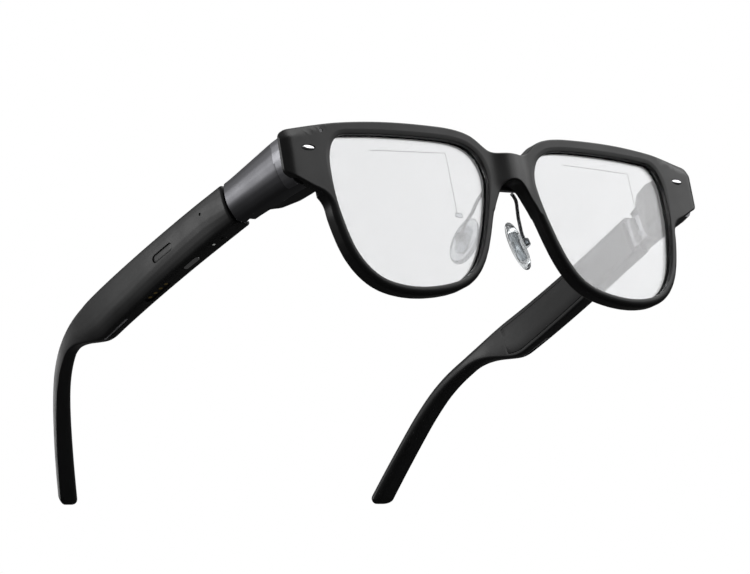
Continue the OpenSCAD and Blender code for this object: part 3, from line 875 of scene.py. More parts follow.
def lower_share(z):
    """0 on the brow and 1 on the lower rim, where the edges are rounder."""
    return 1 - smooth(-9, 1, z)


def shape_front(point):
    """Wraps a point of the flat front, after its hollows and bulges."""
    f = front_sizes()
    depth = f["depth"]
    x, y, z = point
    across = abs(x)
    # thinner end pieces
    limit = mix(depth, f["end_depth"], smooth(63.2, 64.4, across))
    if y > 1.2:
        y = 1.2 + (y - 1.2) * (limit - 1.2) / (depth - 1.2)
    push = 0.0
    # the bridge stands forward as a rounded saddle
    if across < 7.2:
        push -= f["bridge_bulge"] * math.cos(math.pi * across / 14.4) ** 2 * smooth(-3, 3.5, z)
    # the outer end turns back in a wide rounding
    turn = smooth(0, 1, (across - (f["half_width"] + END_REACH - 3.4)) / 3.4)
    push += 1.3 * (1 - math.sqrt(max(0.0, 1 - turn * turn * 0.98)))
    # a long wedge along the top of the end piece
    reach = 2.4 * smooth(55, 71, across)
    drop = max(0.0, brow_height(min(across, f["half_width"] - 1.2)) - z)
    if drop < reach and z > 5:
        push += (reach - drop) * 0.5
    push = min(push, 0.72 * limit)
    y = push + y * (limit - push) / limit
    radius = f["wrap_radius"]
    y += radius - math.sqrt(radius * radius - x * x)
    lean = f["lean"]
    return Vector((
        x,
        y * math.cos(lean) - z * math.sin(lean),
        y * math.sin(lean) + z * math.cos(lean),
    ))


def wrap_front(bm):
    """Wraps everything in a shape made on the flat front."""
    for v in bm.verts:
        v.co = shape_front(v.co)
    return bm


def chamfer_width(z):
    """Width of the slope round a lens: widest along the brow."""
    return mix(0.35, front_sizes()["lens_chamfer"], smooth(-4, 8, z))


def slice_faces(bm, geometry, cuts):
    """Cuts flat faces along planes, so that they can be bent."""
    live = {g for g in geometry if isinstance(g, bmesh.types.BMFace)}
    for place, axis in cuts:
        parts = set(live)
        for face in live:
            parts.update(face.edges)
            parts.update(face.verts)
        made = bmesh.ops.bisect_plane(
            bm, geom=list(parts), dist=1e-5, plane_co=Vector(axis) * place,
            plane_no=axis, use_snap_center=False, clear_outer=False, clear_inner=False,
        )["geom"]
        live = {g for g in made if isinstance(g, bmesh.types.BMFace)}


def front_bmesh():
    """The whole front, flat rings first, then wrapped."""
    f = front_sizes()
    depth = f["depth"]
    bm = bmesh.new()
    outer = front_outline()
    low = [lower_share(p.y) * (1 if abs(p.x) > 8 else 0.3) for p in outer]
    wide = [0.45 + 1.05 * k for k in low]
    deep = [0.45 + 0.65 * k for k in low]
    profile = [([w + FILL_STEP for w in wide], 0), (wide, 0)]
    for angle in (22.5, 45, 67.5, 90):
        a = math.radians(angle)
        profile.append((
            [w * (1 - math.sin(a)) for w in wide], [d * (1 - math.cos(a)) for d in deep],
        ))
    backs = [0.45 + 0.6 * k for k in low]
    for angle in (0, 30, 60, 90):
        a = math.radians(angle)
        profile.append(([b * (1 - math.cos(a)) for b in backs],
                        [depth - b * (1 - math.sin(a)) for b in backs]))
    profile.append(([b + FILL_STEP for b in backs], depth))
    first, last = loft(bm, flat_rings(outer, profile), capped=False)
    face_loops, back_loops = [first], [last]
    for side in (1, -1):
        eye = eye_outline()
        if side < 0:
            eye = [Vector((-p.x, p.y)) for p in reversed(eye)]
        widths = [chamfer_width(p.y) for p in eye]
        slope = [0.04 + 0.06 * w for w in widths]
        first, last = loft(bm, flat_rings(eye, (
            ([-(w + 0.15) for w in widths], 0), ([-w for w in widths], 0), (-0.2, slope),
            (-0.06, [s + 0.07 for s in slope]), (0, [s + 0.22 for s in slope]),
            (0, SEAT - 0.02), (-0.9, SEAT), (-0.9, depth - 0.2), (-0.94, depth - 0.05),
            (-1.0, depth), (-1.1, depth),
        )), capped=False)
        face_loops.append(first)
        back_loops.append(last)
    for loops, normal in ((face_loops, (0, -1, 0)), (back_loops, (0, 1, 0))):
        edges = [e for run in loops for e in edge_loop(run)]
        filled = bmesh.ops.triangle_fill(
            bm, use_beauty=True, use_dissolve=False, edges=edges, normal=normal,
        )["geom"]
        cuts = [(x * side, (1, 0, 0)) for side in (1, -1) for x in
                [0.35 + 0.7 * k for k in range(11)] + [9.5 + 2.1 * k for k in range(25)]
                + [62.6, 63.2, 63.8, 64.4, 66.5, 68] + [69.2 + 0.5 * k for k in range(8)]]
        cuts += [(z, (0, 0, 1)) for z in (-2, 0, 2, 4, 6, 8, 10, 11.6, 12.4, 13.2, 14)]
        slice_faces(bm, filled, cuts)
    return wrap_front(bm)


def plate_bmesh(near, far, grow):
    """A wrapped plate that fills a lens seat between two depths."""
    bm = bmesh.new()
    loops = loft(bm, flat_rings(eye_outline(grow), (
        (0.3, near), (0.12, near), (0, near + 0.12), (0, far - 0.12), (0.12, far), (0.3, far),
    )), capped=False)
    for loop, normal in zip(loops, ((0, -1, 0), (0, 1, 0))):
        filled = bmesh.ops.triangle_fill(
            bm, use_beauty=True, use_dissolve=False, edges=edge_loop(loop), normal=normal,
        )["geom"]
        slice_faces(bm, filled, [(9.5 + 1.7 * k, (1, 0, 0)) for k in range(31)]
                    + [(-28 + 4 * k, (0, 0, 1)) for k in range(11)])
    return wrap_front(bm)


def rear_ring():
    """The ring that closes the lens seat from behind."""
    depth = front_sizes()["depth"]
    bm = bmesh.new()
    first, last = loft(bm, flat_rings(eye_outline(), (
        (-0.82, RING_FRONT), (-0.82, depth - 0.2), (-0.75, depth - 0.05),
        (-0.6, depth - 0.02), (-0.25, depth - 0.02), (-0.08, depth - 0.1),
        (0, depth - 0.28), (0, RING_FRONT + 0.08), (-0.06, RING_FRONT),
    )), capped=False)
    bmesh.ops.bridge_loops(bm, edges=edge_loop(first) + edge_loop(last))
    return wrap_front(bm)


def on_face(x, z, back=0.0):
    """A point on the front, given flat."""
    return shape_front(Vector((x, back, z)))


def oval_ring(back, scale, grow):
    """The rivet's oval at its place on the front, scaled or grown."""
    middle = on_face(front_sizes()["half_width"] - RIVET_FROM_END, RIVET_HEIGHT)
    half_long, half_wide = RIVET_HALF
    return [
        middle + Vector((p.x * (half_long * scale + grow), back, p.y * (half_wide * scale + grow)))
        for p in circle(32)
    ]


def rivet_bmesh():
    """A flat oval rivet with a domed, polished face."""
    bm = bmesh.new()
    loft(bm, [
        oval_ring(back + 0.06, scale, 0)
        for scale, back in ((1, 0.9), (1, 0.02), (0.94, -0.1), (0.8, -0.2), (0.55, -0.28),
                            (0.25, -0.31))
    ])
    return bm


def pit_bmesh(grow):
    """The rivet's shallow pit, to cut out of the front."""
    bm = bmesh.new()
    loft(bm, [oval_ring(y, 1, grow) for y in (-1.5, 0.45)])
    return bm


class AddFront(bpy.types.Operator):
    """Adds the moulded front, with its rivet pits"""

    bl_idname = "glasses.add_front"
    bl_label = "Front"

    def execute(self, context):
        made = piece("front_moulding", front_bmesh(), [finish("nylon")], "front",
                     ["front_frame"], sharp=0.6)
        for _, sign in SIDES:
            cut(made, sided(pit_bmesh(0.12), sign))
        # the light sensor's hole, in the wearer's right end piece
        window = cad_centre("sensor_window")
        hole = bmesh.new()
        bmesh.ops.create_cone(
            hole, cap_ends=True, segments=32, radius1=0.62, radius2=0.62, depth=3,
            matrix=Matrix.Translation(window + Vector((0, -0.85, 0)))
            @ Matrix.Rotation(math.radians(90) + front_sizes()["lean"], 4, "X"),
        )
        cut(made, hole)
        even_shading(made)
        return {"FINISHED"}


class AddRims(bpy.types.Operator):
    """Adds the rings that hold the lenses from behind"""

    bl_idname = "glasses.add_rims"
    bl_label = "Rear rims"

    def execute(self, context):
        pair("rim_ring", rear_ring, "nylon", "rear_rim", "frame_black", 0.6)
        return {"FINISHED"}


class AddRivets(bpy.types.Operator):
    """Adds the flat oval rivets in the end pieces"""

    bl_idname = "glasses.add_rivets"
    bl_label = "Rivets"

    def execute(self, context):
        pair("oval_rivet", rivet_bmesh, "polished", "rivet", "rivet", 0.9)
        return {"FINISHED"}


class AddLenses(bpy.types.Operator):
    """Adds the coated lenses and the display glass behind them"""

    bl_idname = "glasses.add_lenses"
    bl_label = "Lenses"

    def execute(self, context):
        for side, sign in SIDES:
            for name, depths, node, key in (
                ("coated_lens", LENS_DEPTHS, "lens", "lens"),
                ("display_plate", PLATE_DEPTHS, "waveguide", "guide"),
            ):
                piece(f"{name}_{side}", sided(plate_bmesh(*depths, 0.85), sign),
                      [finish(key)], "front", [f"{node}_{side}"])
        return {"FINISHED"}


# Corners of each display area's two visible edges, on the flat front
DISPLAY_EDGES = {
    "right": ((-45.8, 10.0), (-20.4, 10.7), (-20.0, -6.5)),
    "left": ((22.4, 10.55), (47.8, 10.2), (48.1, -7.1)),
}


class AddDisplays(bpy.types.Operator):
    """Adds the fine edges of the display areas and their coupling prisms"""

    bl_idname = "glasses.add_displays"
    bl_label = "Display areas"

    def execute(self, context):
        half = 0.09
        for side, corners in DISPLAY_EDGES.items():
            bm = bmesh.new()
            start, bend, end = (Vector(c) for c in corners)
            runs = []
            for a, b in ((start, bend), (bend, end)):
                runs += [a.lerp(b, k / 12) for k in range(12)]
            runs.append(end)
            rings = []
            for i, here in enumerate(runs):
                along = (runs[min(i + 1, len(runs) - 1)] - runs[max(i - 1, 0)]).normalized()
                across = Vector((-along.y, along.x)) * half
                rings.append([
                    on_face(here.x + across.x * k, here.y + across.y * k, y)
                    for k, y in ((-1, 2.595), (1, 2.595), (1, 2.625), (-1, 2.625))
                ])
            loft(bm, rings)
            piece(f"display_edge_{side}", bm, [finish("hairline")], "front",
                  sharp=0.4)
            # a small bevelled prism on the back of the display glass
            bm = bmesh.new()
            outline = rounded([(-1.1, -0.5, 0.3), (1.1, -0.8, 0.3), (1.1, 0.5, 0.3),
                               (-1.1, 0.8, 0.3)], 3, 1)
            rings = []
            for y, share in ((3.3, 1.0), (3.75, 0.95), (3.95, 0.7)):
                rings.append([
                    on_face(end.x + 0.9 + p.x * share, end.y - 0.4 + p.y * share, y)
                    for p in outline
                ])
            loft(bm, rings)
            piece(f"coupling_prism_{side}", bm, [finish("socket")], "front",
                  sharp=0.4)
        return {"FINISHED"}


# Nose pads

# How far the pin of a pad lies behind the pad
PIN_BACK = 1.5


def pad_place():
    """The matrix that places a nose pad: X through it, Y across, Z along it."""
    return (
        Matrix.Translation((9.8, 15, -8))
        @ Matrix.Rotation(math.radians(33), 4, "Z")
        @ Matrix.Rotation(math.radians(-32), 4, "Y")
        @ Matrix.Rotation(math.radians(-59), 4, "Z")
    )


def arm_path():
    """Points along the middle of a pad arm's wire, from the bar to the eye."""
    place = pad_place()
    pin_back = nose_sizes()["pad_thickness"] / 2 + PIN_BACK
    free = [(5, 6.2, 3.4), (5.9, 6.6, 2.9), (7, 7.4, 1.8), (7.9, 8.8, 0.2),
            (8.8, 10.3, -1.7), (10, 11.8, -3.4)]
    near = [(pin_back + 0.1, -0.1, 3.3), (pin_back, 0, 2), (pin_back, 0, 0.8)]
    return [Vector(p) for p in free] + [place @ Vector(p) for p in near]


def pad_outline():
    """A pad's outline, (across, along): an oval, fuller at its lower end."""
    n = nose_sizes()
    return [
        Vector((p.x * n["pad_width"] * (0.5 - 0.035 * p.y), p.y * n["pad_length"] / 2))
        for p in circle(48)
    ]


class AddNoseBar(bpy.types.Operator):
    """Adds the bar behind the bridge that carries both pad arms"""

    bl_idname = "glasses.add_nose_bar"
    bl_label = "Nose bar"

    def execute(self, context):
        f = front_sizes()
        bm = bmesh.new()
        outline = rounded([(-6, 2.2, 1), (6, 2.2, 1), (6, 4.2, 1), (-6, 4.2, 1)], 8, 3)
        rings = []
        for inset, back in ((0, 0), (0, 1.0), (0.08, 1.2), (0.3, 1.36), (0.5, 1.4)):
            rings.append([
                on_face(p.x * (1 - inset / 6), 3.2 + (p.y - 3.2) * (1 - inset), f["depth"] + back)
                for p in outline
            ])
        loft(bm, rings)
        piece("pad_arm_bar", bm, [finish("steel")], "front", ["nose_bar"])
        return {"FINISHED"}


def wire_bmesh():
    """A pad arm: a bent wire and the eye at its end, round the pad's pin."""
    n = nose_sizes()
    pin_back = n["pad_thickness"] / 2 + PIN_BACK
    bm = bmesh.new()
    tube(bm, open_curve(arm_path(), 6), n["wire"], 16)
    wire = set(bm.verts)
    ring = [(1.05, 0.38), (0.93, 0.5), (0.55, 0.5), (0.45, 0.42), (0.45, -0.42),
            (0.55, -0.5), (0.93, -0.5), (1.05, -0.38)]
    profile = [bm.verts.new((pin_back + r, h, 0)) for r, h in ring]
    edges = [bm.edges.new((profile[i - 1], profile[i])) for i in range(len(ring))]
    bmesh.ops.spin(
        bm, geom=profile + edges, cent=(pin_back, 0, 0), axis=(0, 1, 0),
        angle=math.radians(360), steps=32, use_merge=True, use_duplicate=False,
    )
    eye = [v for v in bm.verts if v not in wire]
    bmesh.ops.transform(bm, matrix=pad_place(), verts=eye)
    return bm


class AddPadArms(bpy.types.Operator):
    """Adds the bent wires that carry the nose pads"""

    bl_idname = "glasses.add_pad_arms"
    bl_label = "Pad arms"

    def execute(self, context):
        pair("pad_wire", wire_bmesh, "wire", "pad_arm", "steel")
        return {"FINISHED"}


def clip_bmesh():
    """A pad's core: a plate in the pad, two cheeks round the arm's eye, and a pin."""
    back = nose_sizes()["pad_thickness"] / 2
    bm = bmesh.new()
    plate = rounded([(-1.9, -4.2, 1.5), (1.9, -4.2, 1.5), (1.9, 4.2, 1.5),
                     (-1.9, 4.2, 1.5)], 6, 2)
    loft(bm, [
        [Vector((x, p.x * k, p.y * k)) for p in plate]
        for x, k in ((0.42, 0.94), (0.5, 1), (back - 0.1, 1), (back + 0.05, 0.93))
    ])
    cheek = rounded([(0, -1.7, 0.2), (2.3, -1.1, 0.6), (2.3, 1.1, 0.6), (0, 1.7, 0.2)], 6, 1)
    for low in (-1.35, 0.65):
        loft(bm, [
            [Vector((back + p.x * k, low + y, p.y * k)) for p in cheek]
            for y, k in ((0, 0.95), (0.08, 1), (0.62, 1), (0.7, 0.95))
        ])
    loft(bm, [
        [Vector((back + PIN_BACK + p.x, y, p.y)) for p in circle(20, 0.4)] for y in (-0.7, 0.7)
    ])
    bmesh.ops.transform(bm, matrix=pad_place(), verts=bm.verts)
    return bm


class AddPadCores(bpy.types.Operator):
    """Adds the clear cores that clip the pads to their arms"""

    bl_idname = "glasses.add_pad_cores"
    bl_label = "Pad cores"

    def execute(self, context):
        pair("pad_clip", clip_bmesh, "socket", "pad_core", "pad_socket", 0.6, "nose_pad")
        return {"FINISHED"}


# A pad from its back to its crown: share of its outline, share of half its thickness
PAD_PROFILE = (
    (0.2, 0.45), (0.5, 0.45), (0.64, 0.5), (0.7, 0.8), (0.78, 0.98), (0.88, 0.95),
    (0.96, 0.66), (1.0, 0.2), (0.99, -0.2), (0.94, -0.55), (0.84, -0.8), (0.68, -0.95),
    (0.48, -1.03), (0.26, -1.07), (0.1, -1.08),
)


def pad_bmesh():
    """A nose pad, crowned towards the nose and dished at its back."""
    half = nose_sizes()["pad_thickness"] / 2
    bm = bmesh.new()
    loft(bm, [
        [Vector((half * level * 0.92, p.x * share, p.y * share)) for p in pad_outline()]
        for share, level in PAD_PROFILE
    ])
    bmesh.ops.transform(bm, matrix=pad_place(), verts=bm.verts)
    return bm


class AddNosePads(bpy.types.Operator):
    """Adds the clear silicone nose pads, crowned towards the nose"""

    bl_idname = "glasses.add_nose_pads"
    bl_label = "Nose pads"

    def execute(self, context):
        pair("silicone_pad", pad_bmesh, "silicone", "nose_pad", "pad_silicone", 1.2,
             "nose_pad")
        return {"FINISHED"}


def bar_section(thickness, height, crease, upper, lower, edge, bottom_edge):
    """A bar's section, (inward, down): its outer side swells out to a soft crease.

    upper and lower are how far the outer side falls away above and below it.
    """
    corners = [(upper, 0, edge), (thickness - 0.1, 0, edge), (thickness, height, edge),
               (lower, height, bottom_edge)]
    for share in (0.72, 0.5, 0.3):
        corners.append((lower * share ** 2, crease + (height - crease) * share, 9))
    corners.append((0, crease, 9))
    for share in (0.35, 0.7):
        corners.append((upper * share ** 2, crease * (1 - share), 9))
    return rounded(corners, 4, 1)


# Sleeves between the front and the hinges

def end_back(x, z):
    """How far back the back of an end piece lies."""
    f = front_sizes()
    flat = z
    for _ in range(3):
        at = on_face(x, flat, f["end_depth"])
        flat += z - at.z
    return on_face(x, flat, f["end_depth"]).y


def sleeve_bmesh():
    """A sleeve: a rounded box that narrows forwards, with a turned front band."""
    t = temple_sizes()
    top, low = t["top"], t["top"] - t["start_height"]
    end = t["hinge"] - t["gap"] / 2
    bm = bmesh.new()
    rings = []
    lengths = [0, 1.6, 3.9, 4.35, 4.8, 6.5, *range(9, 24, 2)]
    lengths += [end - SLEEVE_START - short for short in (0.5, 0.12, 0)]
    for i, y in enumerate(lengths):
        inset = (0.0, 0.0, 0.35)[max(0, i - len(lengths) + 3)]
        # the first rings follow the back of the end piece
        share = 1 - smooth(0, 9, y)
        real = y + SLEEVE_START
        flare = max(0.0, 1 - y / 22)
        high, under = top + 1.1 * flare - inset, low - 1.5 * flare + inset
        out, inner = sleeve_outer(real) - inset, sleeve_inner(real) + inset
        ring = [
            Vector((out - p.x, high - p.y)) for p in bar_section(
                out - inner, high - under, high - 8.0, 0.9, 2.2, 0.8, 2.0)
        ]
        points = []
        for p in ring:
            behind = end_back(min(p.x, front_sizes()["half_width"] - 1), p.y)
            points.append(Vector((p.x, real + (behind - SLEEVE_START) * share, p.y)))
        rings.append(points)
    loft(bm, rings)
    return bm


def box_cutter(corner, size, turn=0.0, pivot=None):
    """A box to cut with, turned about an upright line."""
    bm = bmesh.new()
    made = bmesh.ops.create_cube(bm, size=1)
    bmesh.ops.scale(bm, verts=made["verts"], vec=size)
    bmesh.ops.translate(bm, verts=made["verts"],
                        vec=Vector(corner) + Vector(size) / 2)
    if turn:
        matrix = (Matrix.Translation(pivot) @ Matrix.Rotation(turn, 4, "Z")
                  @ Matrix.Translation(-pivot))
        bmesh.ops.transform(bm, matrix=matrix, verts=bm.verts)
    return bm


def post_cutter(centre, radius, low, high, sides=40):
    """An upright round cutter."""
    bm = bmesh.new()
    bmesh.ops.create_cone(
        bm, cap_ends=True, segments=sides, radius1=radius, radius2=radius, depth=high - low,
        matrix=Matrix.Translation((centre[0], centre[1], (low + high) / 2)),
    )
    return bm


class AddSleeves(bpy.types.Operator):
    """Adds the metal sleeves that join the front to the hinges"""

    bl_idname = "glasses.add_sleeves"
    bl_label = "Sleeves"

    def execute(self, context):
        t = temple_sizes()
        low = t["top"] - t["start_height"]
        for side, sign in SIDES:
            bm = sided(sleeve_bmesh(), sign)
            bmesh.ops.recalc_face_normals(bm, faces=bm.faces)
            # inward faces take the dark moulding; outward faces of the front band take the paler
            # aluminium, a real trim whose extra paleness is partly a painted highlight
            for face in bm.faces:
                if face.normal.x * sign < -0.25:
                    face.material_index = 1
                elif face.calc_center_median().y < BAND_END and face.normal.x * sign > 0.35:
                    face.material_index = 2
            made = piece(f"hinge_sleeve_{side}", bm,
                         [finish("sleeve"), finish("module"), finish("band")],
                         "front", [f"sleeve_{side}"], sharp=0.55)
            pin = (pivot_x(), t["hinge"])
            inside = sleeve_inner(24)
            cutters = [
                # the hollow that takes the hinge
                box_cutter((inside - 2, 20.8, low + 1.4),
                           (sleeve_outer(24) - 2.1 - inside + 2, 10, t["start_height"] - 2.4)),
                # room for the folded temple, inboard of the pin
                box_cutter((pin[0] - 12, pin[1] - t["barrel"] - 0.55, low - 3),
                           (12.1, 8, t["start_height"] + 6)),
            ]
            for tool in cutters:
                cut(made, sided(tool, sign))
        return {"FINISHED"}


def engine_cover_bmesh():
    """A light engine's housing: a bulge on the inner side of a sleeve."""
    t = temple_sizes()
    low, top = t["top"] - t["start_height"] - 0.4, t["top"] - 0.5
    plan = [
        (sleeve_inner(6) + 1.2, 6.3, 0.2), (sleeve_inner(6) - 4.8, 6.3, 0.8),
        (sleeve_inner(10) - 6.6, 10, 3), (sleeve_inner(15) - 5.7, 15, 3),
        (sleeve_inner(19) - 3.1, 19.4, 2.4), (sleeve_inner(21) + 1.2, 20.8, 0.2),
    ]
    # its top and bottom edges are rounded: (distance from the edge, inset)
    edge = ((0, 1.3), (0.15, 0.75), (0.55, 0.25), (1.2, 0), (3.5, 0))
    levels = [(low + rise, inset) for rise, inset in edge]
    levels += [(top - rise, inset) for rise, inset in reversed(edge)]
    rings = []
    for z, inset in levels:
        shape = rounded([
            (x + (inset if x < sleeve_inner(y) else 0),
             y + (inset * 0.4 if y < 8 else -inset * 0.4), r) for x, y, r in plan
        ], 6, 1)
        rings.append([Vector((p.x, p.y, z)) for p in shape])
    bm = bmesh.new()
    loft(bm, rings)
    return bm


class AddEngineCovers(bpy.types.Operator):
    """Adds the housings of the light engines, inside the sleeves"""

    bl_idname = "glasses.add_engine_covers"
    bl_label = "Light engine covers"

    def execute(self, context):
        pair("light_engine_cover", engine_cover_bmesh, "nylon", "engine_cover", "frame_black")
        return {"FINISHED"}


# Temples

# Height of the outer face's crease at distances along the temple
CREASE = ((0, 8.0), (2.3, 8.3), (10, 9.7), (19, 9.3), (30, 8.1), (39, 7.45), (46, 6.7),
          (58, 6.4), (67, 5.8), (72, 4.4), (90, 1.8))


def temple_section(path, s, inset=0.0):
    """A temple's section at s, (inward, down)."""
    thickness, height = path.thickness(s), path.height(s)
    slim = smooth(62, 84, s)
    crease = path.t["top"] - lookup(CREASE, 0, 1, s)
    crease = mix(crease, height * 0.5, smooth(60, 78, s))
    ring = bar_section(thickness, height, crease, mix(0.35, 0.1, slim), mix(1.3, 0.15, slim),
                       mix(0.7, 1.7, slim), mix(1.5, 1.7, slim))
    if not inset:
        return ring
    middle = Vector((thickness / 2, height / 2))
    return [
        middle + Vector((
            (p.x - middle.x) * max(0.02, 1 - inset / (thickness / 2)),
            (p.y - middle.y) * max(0.02, 1 - inset / (height / 2)),
        )) for p in ring
    ]


def temple_bmesh(path):
    """A temple's whole outer shape."""
    bm = bmesh.new()
    stations = [(0, 0.5), (0.1, 0.22), (0.35, 0.05), (0.7, 0)]
    stations += [(s, 0) for s in (1.5, 2.5, 4, 6, 8, 10)]
    stations += [(12 + 2 * k, 0) for k in range(24)]
    stations += [(60 + 1.25 * k, 0) for k in range(24)]
    last = path.length - 2.3
    stations += [(90 + (last - 90) * k / 22, 0) for k in range(23)]
    for k in range(1, 8):
        a = math.pi / 2 * k / 8
        stations.append((last + 2.3 * math.sin(a), 2.2 * (1 - math.cos(a))))
    rings = [
        [path.place(s, p.x, p.y) for p in temple_section(path, s, inset)]
        for s, inset in stations
    ]
    loft(bm, rings)
    return bm


def cover_bmesh(path, gap, depth, out):
    """The inner cover, or with no gap and some extra thickness its pocket."""
    bm = bmesh.new()
    start, end = 4 + gap, path.t["deep_length"] + 3 - gap
    count = 34
    rings = []
    stations = [(start, 0.3)] + [
        (start + 0.35 + (end - start - 0.7) * k / count, 0) for k in range(count + 1)
    ] + [(end, 0.3)]
    for s, pull in stations:
        thickness, height = path.thickness(s), path.height(s)
        a, b = 1.4 + gap + pull, height - 1.4 - gap - pull
        ring = rounded([
            (thickness - depth, a, 0.05), (thickness + out, a, 0.25),
            (thickness + out, b, 0.25), (thickness - depth, b, 0.05),
        ], 3, 2)
        rings.append([path.place(s, p.x, p.y) for p in ring])
    loft(bm, rings)
    return bm


def bar_place(path, s, down=0.0):
    """Placement below a temple's outer top edge: X outwards, Y along, Z up."""
    along, _ = path.side_point(s, 0)
    heading = math.radians(lookup(path.plan, 2, 3, along))
    outer = lookup(path.plan, 2, 1, along)
    return (Matrix.Translation((outer, along, path.t["top"] - down))
            @ Matrix.Rotation(-heading, 4, "Z"))


def under_place(path, s):
    """Placement under the middle of a temple."""
    return (bar_place(path, s, path.height(s))
            @ Matrix.Translation((-path.thickness(s) / 2, 0, 0)))


def pill_outline(long, wide, steps=10):
    """A slot with round ends, (across, along)."""
    ring = []
    for k in range(2 * steps + 2):
        upper = k <= steps
        a = math.pi * (k if upper else k - 1) / steps
        shift = (long - wide) / 2 * (1 if upper else -1)
        ring.append(Vector((math.cos(a) * wide / 2, math.sin(a) * wide / 2 + shift)))
    return ring


def pill_bmesh(matrix, long, wide, levels, outward=False):
    """A slot's plug: levels of (height, inset), upright or pointing outwards."""
    bm = bmesh.new()
    rings = []
    for height, inset in levels:
        ring = pill_outline(long - 2 * inset, wide - 2 * inset)
        if outward:
            rings.append([matrix @ Vector((height, p.y, p.x)) for p in ring])
        else:
            rings.append([matrix @ Vector((p.x, p.y, height)) for p in ring])
    loft(bm, rings)
    return bm


# The buttons' places along the right temple
SIDE_BUTTON = 28
POWER_BUTTON = 21
# Openings under it: place along it, length, width and depth, for the charging
# contacts, the power button, the status light and a microphone
UNDER_OPENINGS = ((37, 11, 2.4, 2.4), (POWER_BUTTON, 6.6, 1.9, 2), (11, 1.0, 0.99, 2),
                  (7.4, 0.9, 0.89, 2))
# Openings in its outer face: place along it, distance below its top, length, width
# and depth, for the side button and a microphone
OUTER_OPENINGS = ((SIDE_BUTTON, 5.44, 9.12, 2.3, 1.9), (9.8, 3.5, 0.9, 0.89, 1.5))


class AddTemples(bpy.types.Operator):
    """Adds the temples, with their openings, and the covers on their inner sides"""

    bl_idname = "glasses.add_temples"
    bl_label = "Temples"

    def execute(self, context):
        t = temple_sizes()
        path = TemplePath()
        pin = Vector((pivot_x(), t["hinge"], 0))
        low, high = t["top"] - t["start_height"] + 1.4, t["top"] - 1.4
        reach = t["barrel"] + 0.4
        for side, sign in SIDES:
            made = piece(f"temple_moulding_{side}", sided(temple_bmesh(path), sign),
                         [finish("paint"), finish("block")], f"temple_{side}",
                         [f"temple_shell_{side}"], sharp=0.6)
            turn = -t["splay"]
            tools = [
                cover_bmesh(path, 0, 1.1, 2),
                box_cutter(pin + Vector((-6, -0.6, low - 0.4)),
                           (6.4, reach + 0.6, high - low + 0.8), turn, pin),
                box_cutter(pin + Vector((-0.2, reach - 0.6, low)),
                           (2.2, 9.8, high - low), turn, pin),
                post_cutter(pin, reach, low - 0.4, high + 0.4),
                pill_bmesh(under_place(path, 59), 13, 1.1, ((-1, 0), (2.5, 0))),
            ]
            if sign < 0:
                tools += [
                    pill_bmesh(under_place(path, s), long, wide, ((-1, 0), (deep, 0)))
                    for s, long, wide, deep in UNDER_OPENINGS
                ]
                tools += [
                    pill_bmesh(bar_place(path, s, down), long, wide, ((-deep, 0), (1, 0)),
                               outward=True)
                    for s, down, long, wide, deep in OUTER_OPENINGS
                ]
            for tool in tools:
                cut(made, sided(tool, sign))
            panel = sided(cover_bmesh(path, 0.07, 1.05, 0), sign)
            piece(f"inner_panel_{side}", panel, [finish("paint")], f"temple_{side}",
                  [f"inner_cover_{side}"], sharp=0.7)
        return {"FINISHED"}


class AddControls(bpy.types.Operator):
    """Adds the long side button and the metal button under the right temple"""

    bl_idname = "glasses.add_controls"
    bl_label = "Controls"

    def execute(self, context):
        path = TemplePath()
        bm = pill_bmesh(bar_place(path, SIDE_BUTTON, 5.4), 9, 2.2, (
            (-1.7, 0), (-0.45, 0), (-0.36, 0.1), (-0.32, 0.3), (-0.3, 0.8),
        ), outward=True)
        sided(bm, -1)
        piece("long_button", bm, [finish("paint")], "side_button", ["side_button"],
              sharp=0.9)
        bm = pill_bmesh(under_place(path, POWER_BUTTON), 6.4, 1.7, (
            (1.3, 0), (0.1, 0), (-0.06, 0.06), (-0.18, 0.2), (-0.26, 0.42), (-0.3, 0.7),
        ))
        sided(bm, -1)
        piece("small_button", bm, [finish("button")], "power_button", ["power_button"],
              sharp=0.9)
        return {"FINISHED"}


# Parts kept from the frame, and their finishes
KEPT = {
    "sensor_window": "smoked", "main_board": "board", "radio_board": "board",
    "contact_block": "block", "contact_pins": "gold", "status_light": "pipe",
    "microphones": "mesh",
}
KEPT_PAIRS = {
    "light_engine": "module", "hinge_bracket": "steel", "hinge_pin": "polished",
    "temple_knuckle": "steel", "battery": "foil", "speaker": "module",
    "speaker_grille": "mesh", "tip_core": "steel",
}


class DressParts(bpy.types.Operator):
    """Gives the parts kept from the frame their finishes"""

    bl_idname = "glasses.dress_parts"
    bl_label = "Kept parts"

    def execute(self, context):
        kept = dict(KEPT)
        for side, _ in SIDES:
            kept.update({f"{name}_{side}": key for name, key in KEPT_PAIRS.items()})
        for name, key in kept.items():
            for slot in bpy.data.objects[name].material_slots:
                slot.material = finish(key)
        return {"FINISHED"}


# Stage

def floor_finish():
    """Seamless paper: pale and matt, and see-through from below."""
    material, tree, out = blank("studio_paper")
    where = add(tree, "ShaderNodeTexCoord")
    fibre = add(tree, "ShaderNodeTexNoise", values=[("Scale", 180.0), ("Detail", 4.0)],
                links=[("Vector", where.outputs["Object"])])
    tone = add(tree, "ShaderNodeMapRange",
               values=[("To Min", 0.86), ("To Max", 0.9)],
               links=[("Value", fibre.outputs["Fac"])])
    paper = add(tree, "ShaderNodeBsdfPrincipled", values=[("Roughness", 0.9)],
                links=[("Base Color", tone.outputs["Result"])])
    open_side = add(tree, "ShaderNodeBsdfTransparent")
    side = add(tree, "ShaderNodeNewGeometry")
    both = add(tree, "ShaderNodeMixShader",
               links=[("Fac", side.outputs["Backfacing"]), (1, paper.outputs["BSDF"]),
                      (2, open_side.outputs["BSDF"])])
    tree.links.new(both.outputs["Shader"], out.inputs["Surface"])
    return material


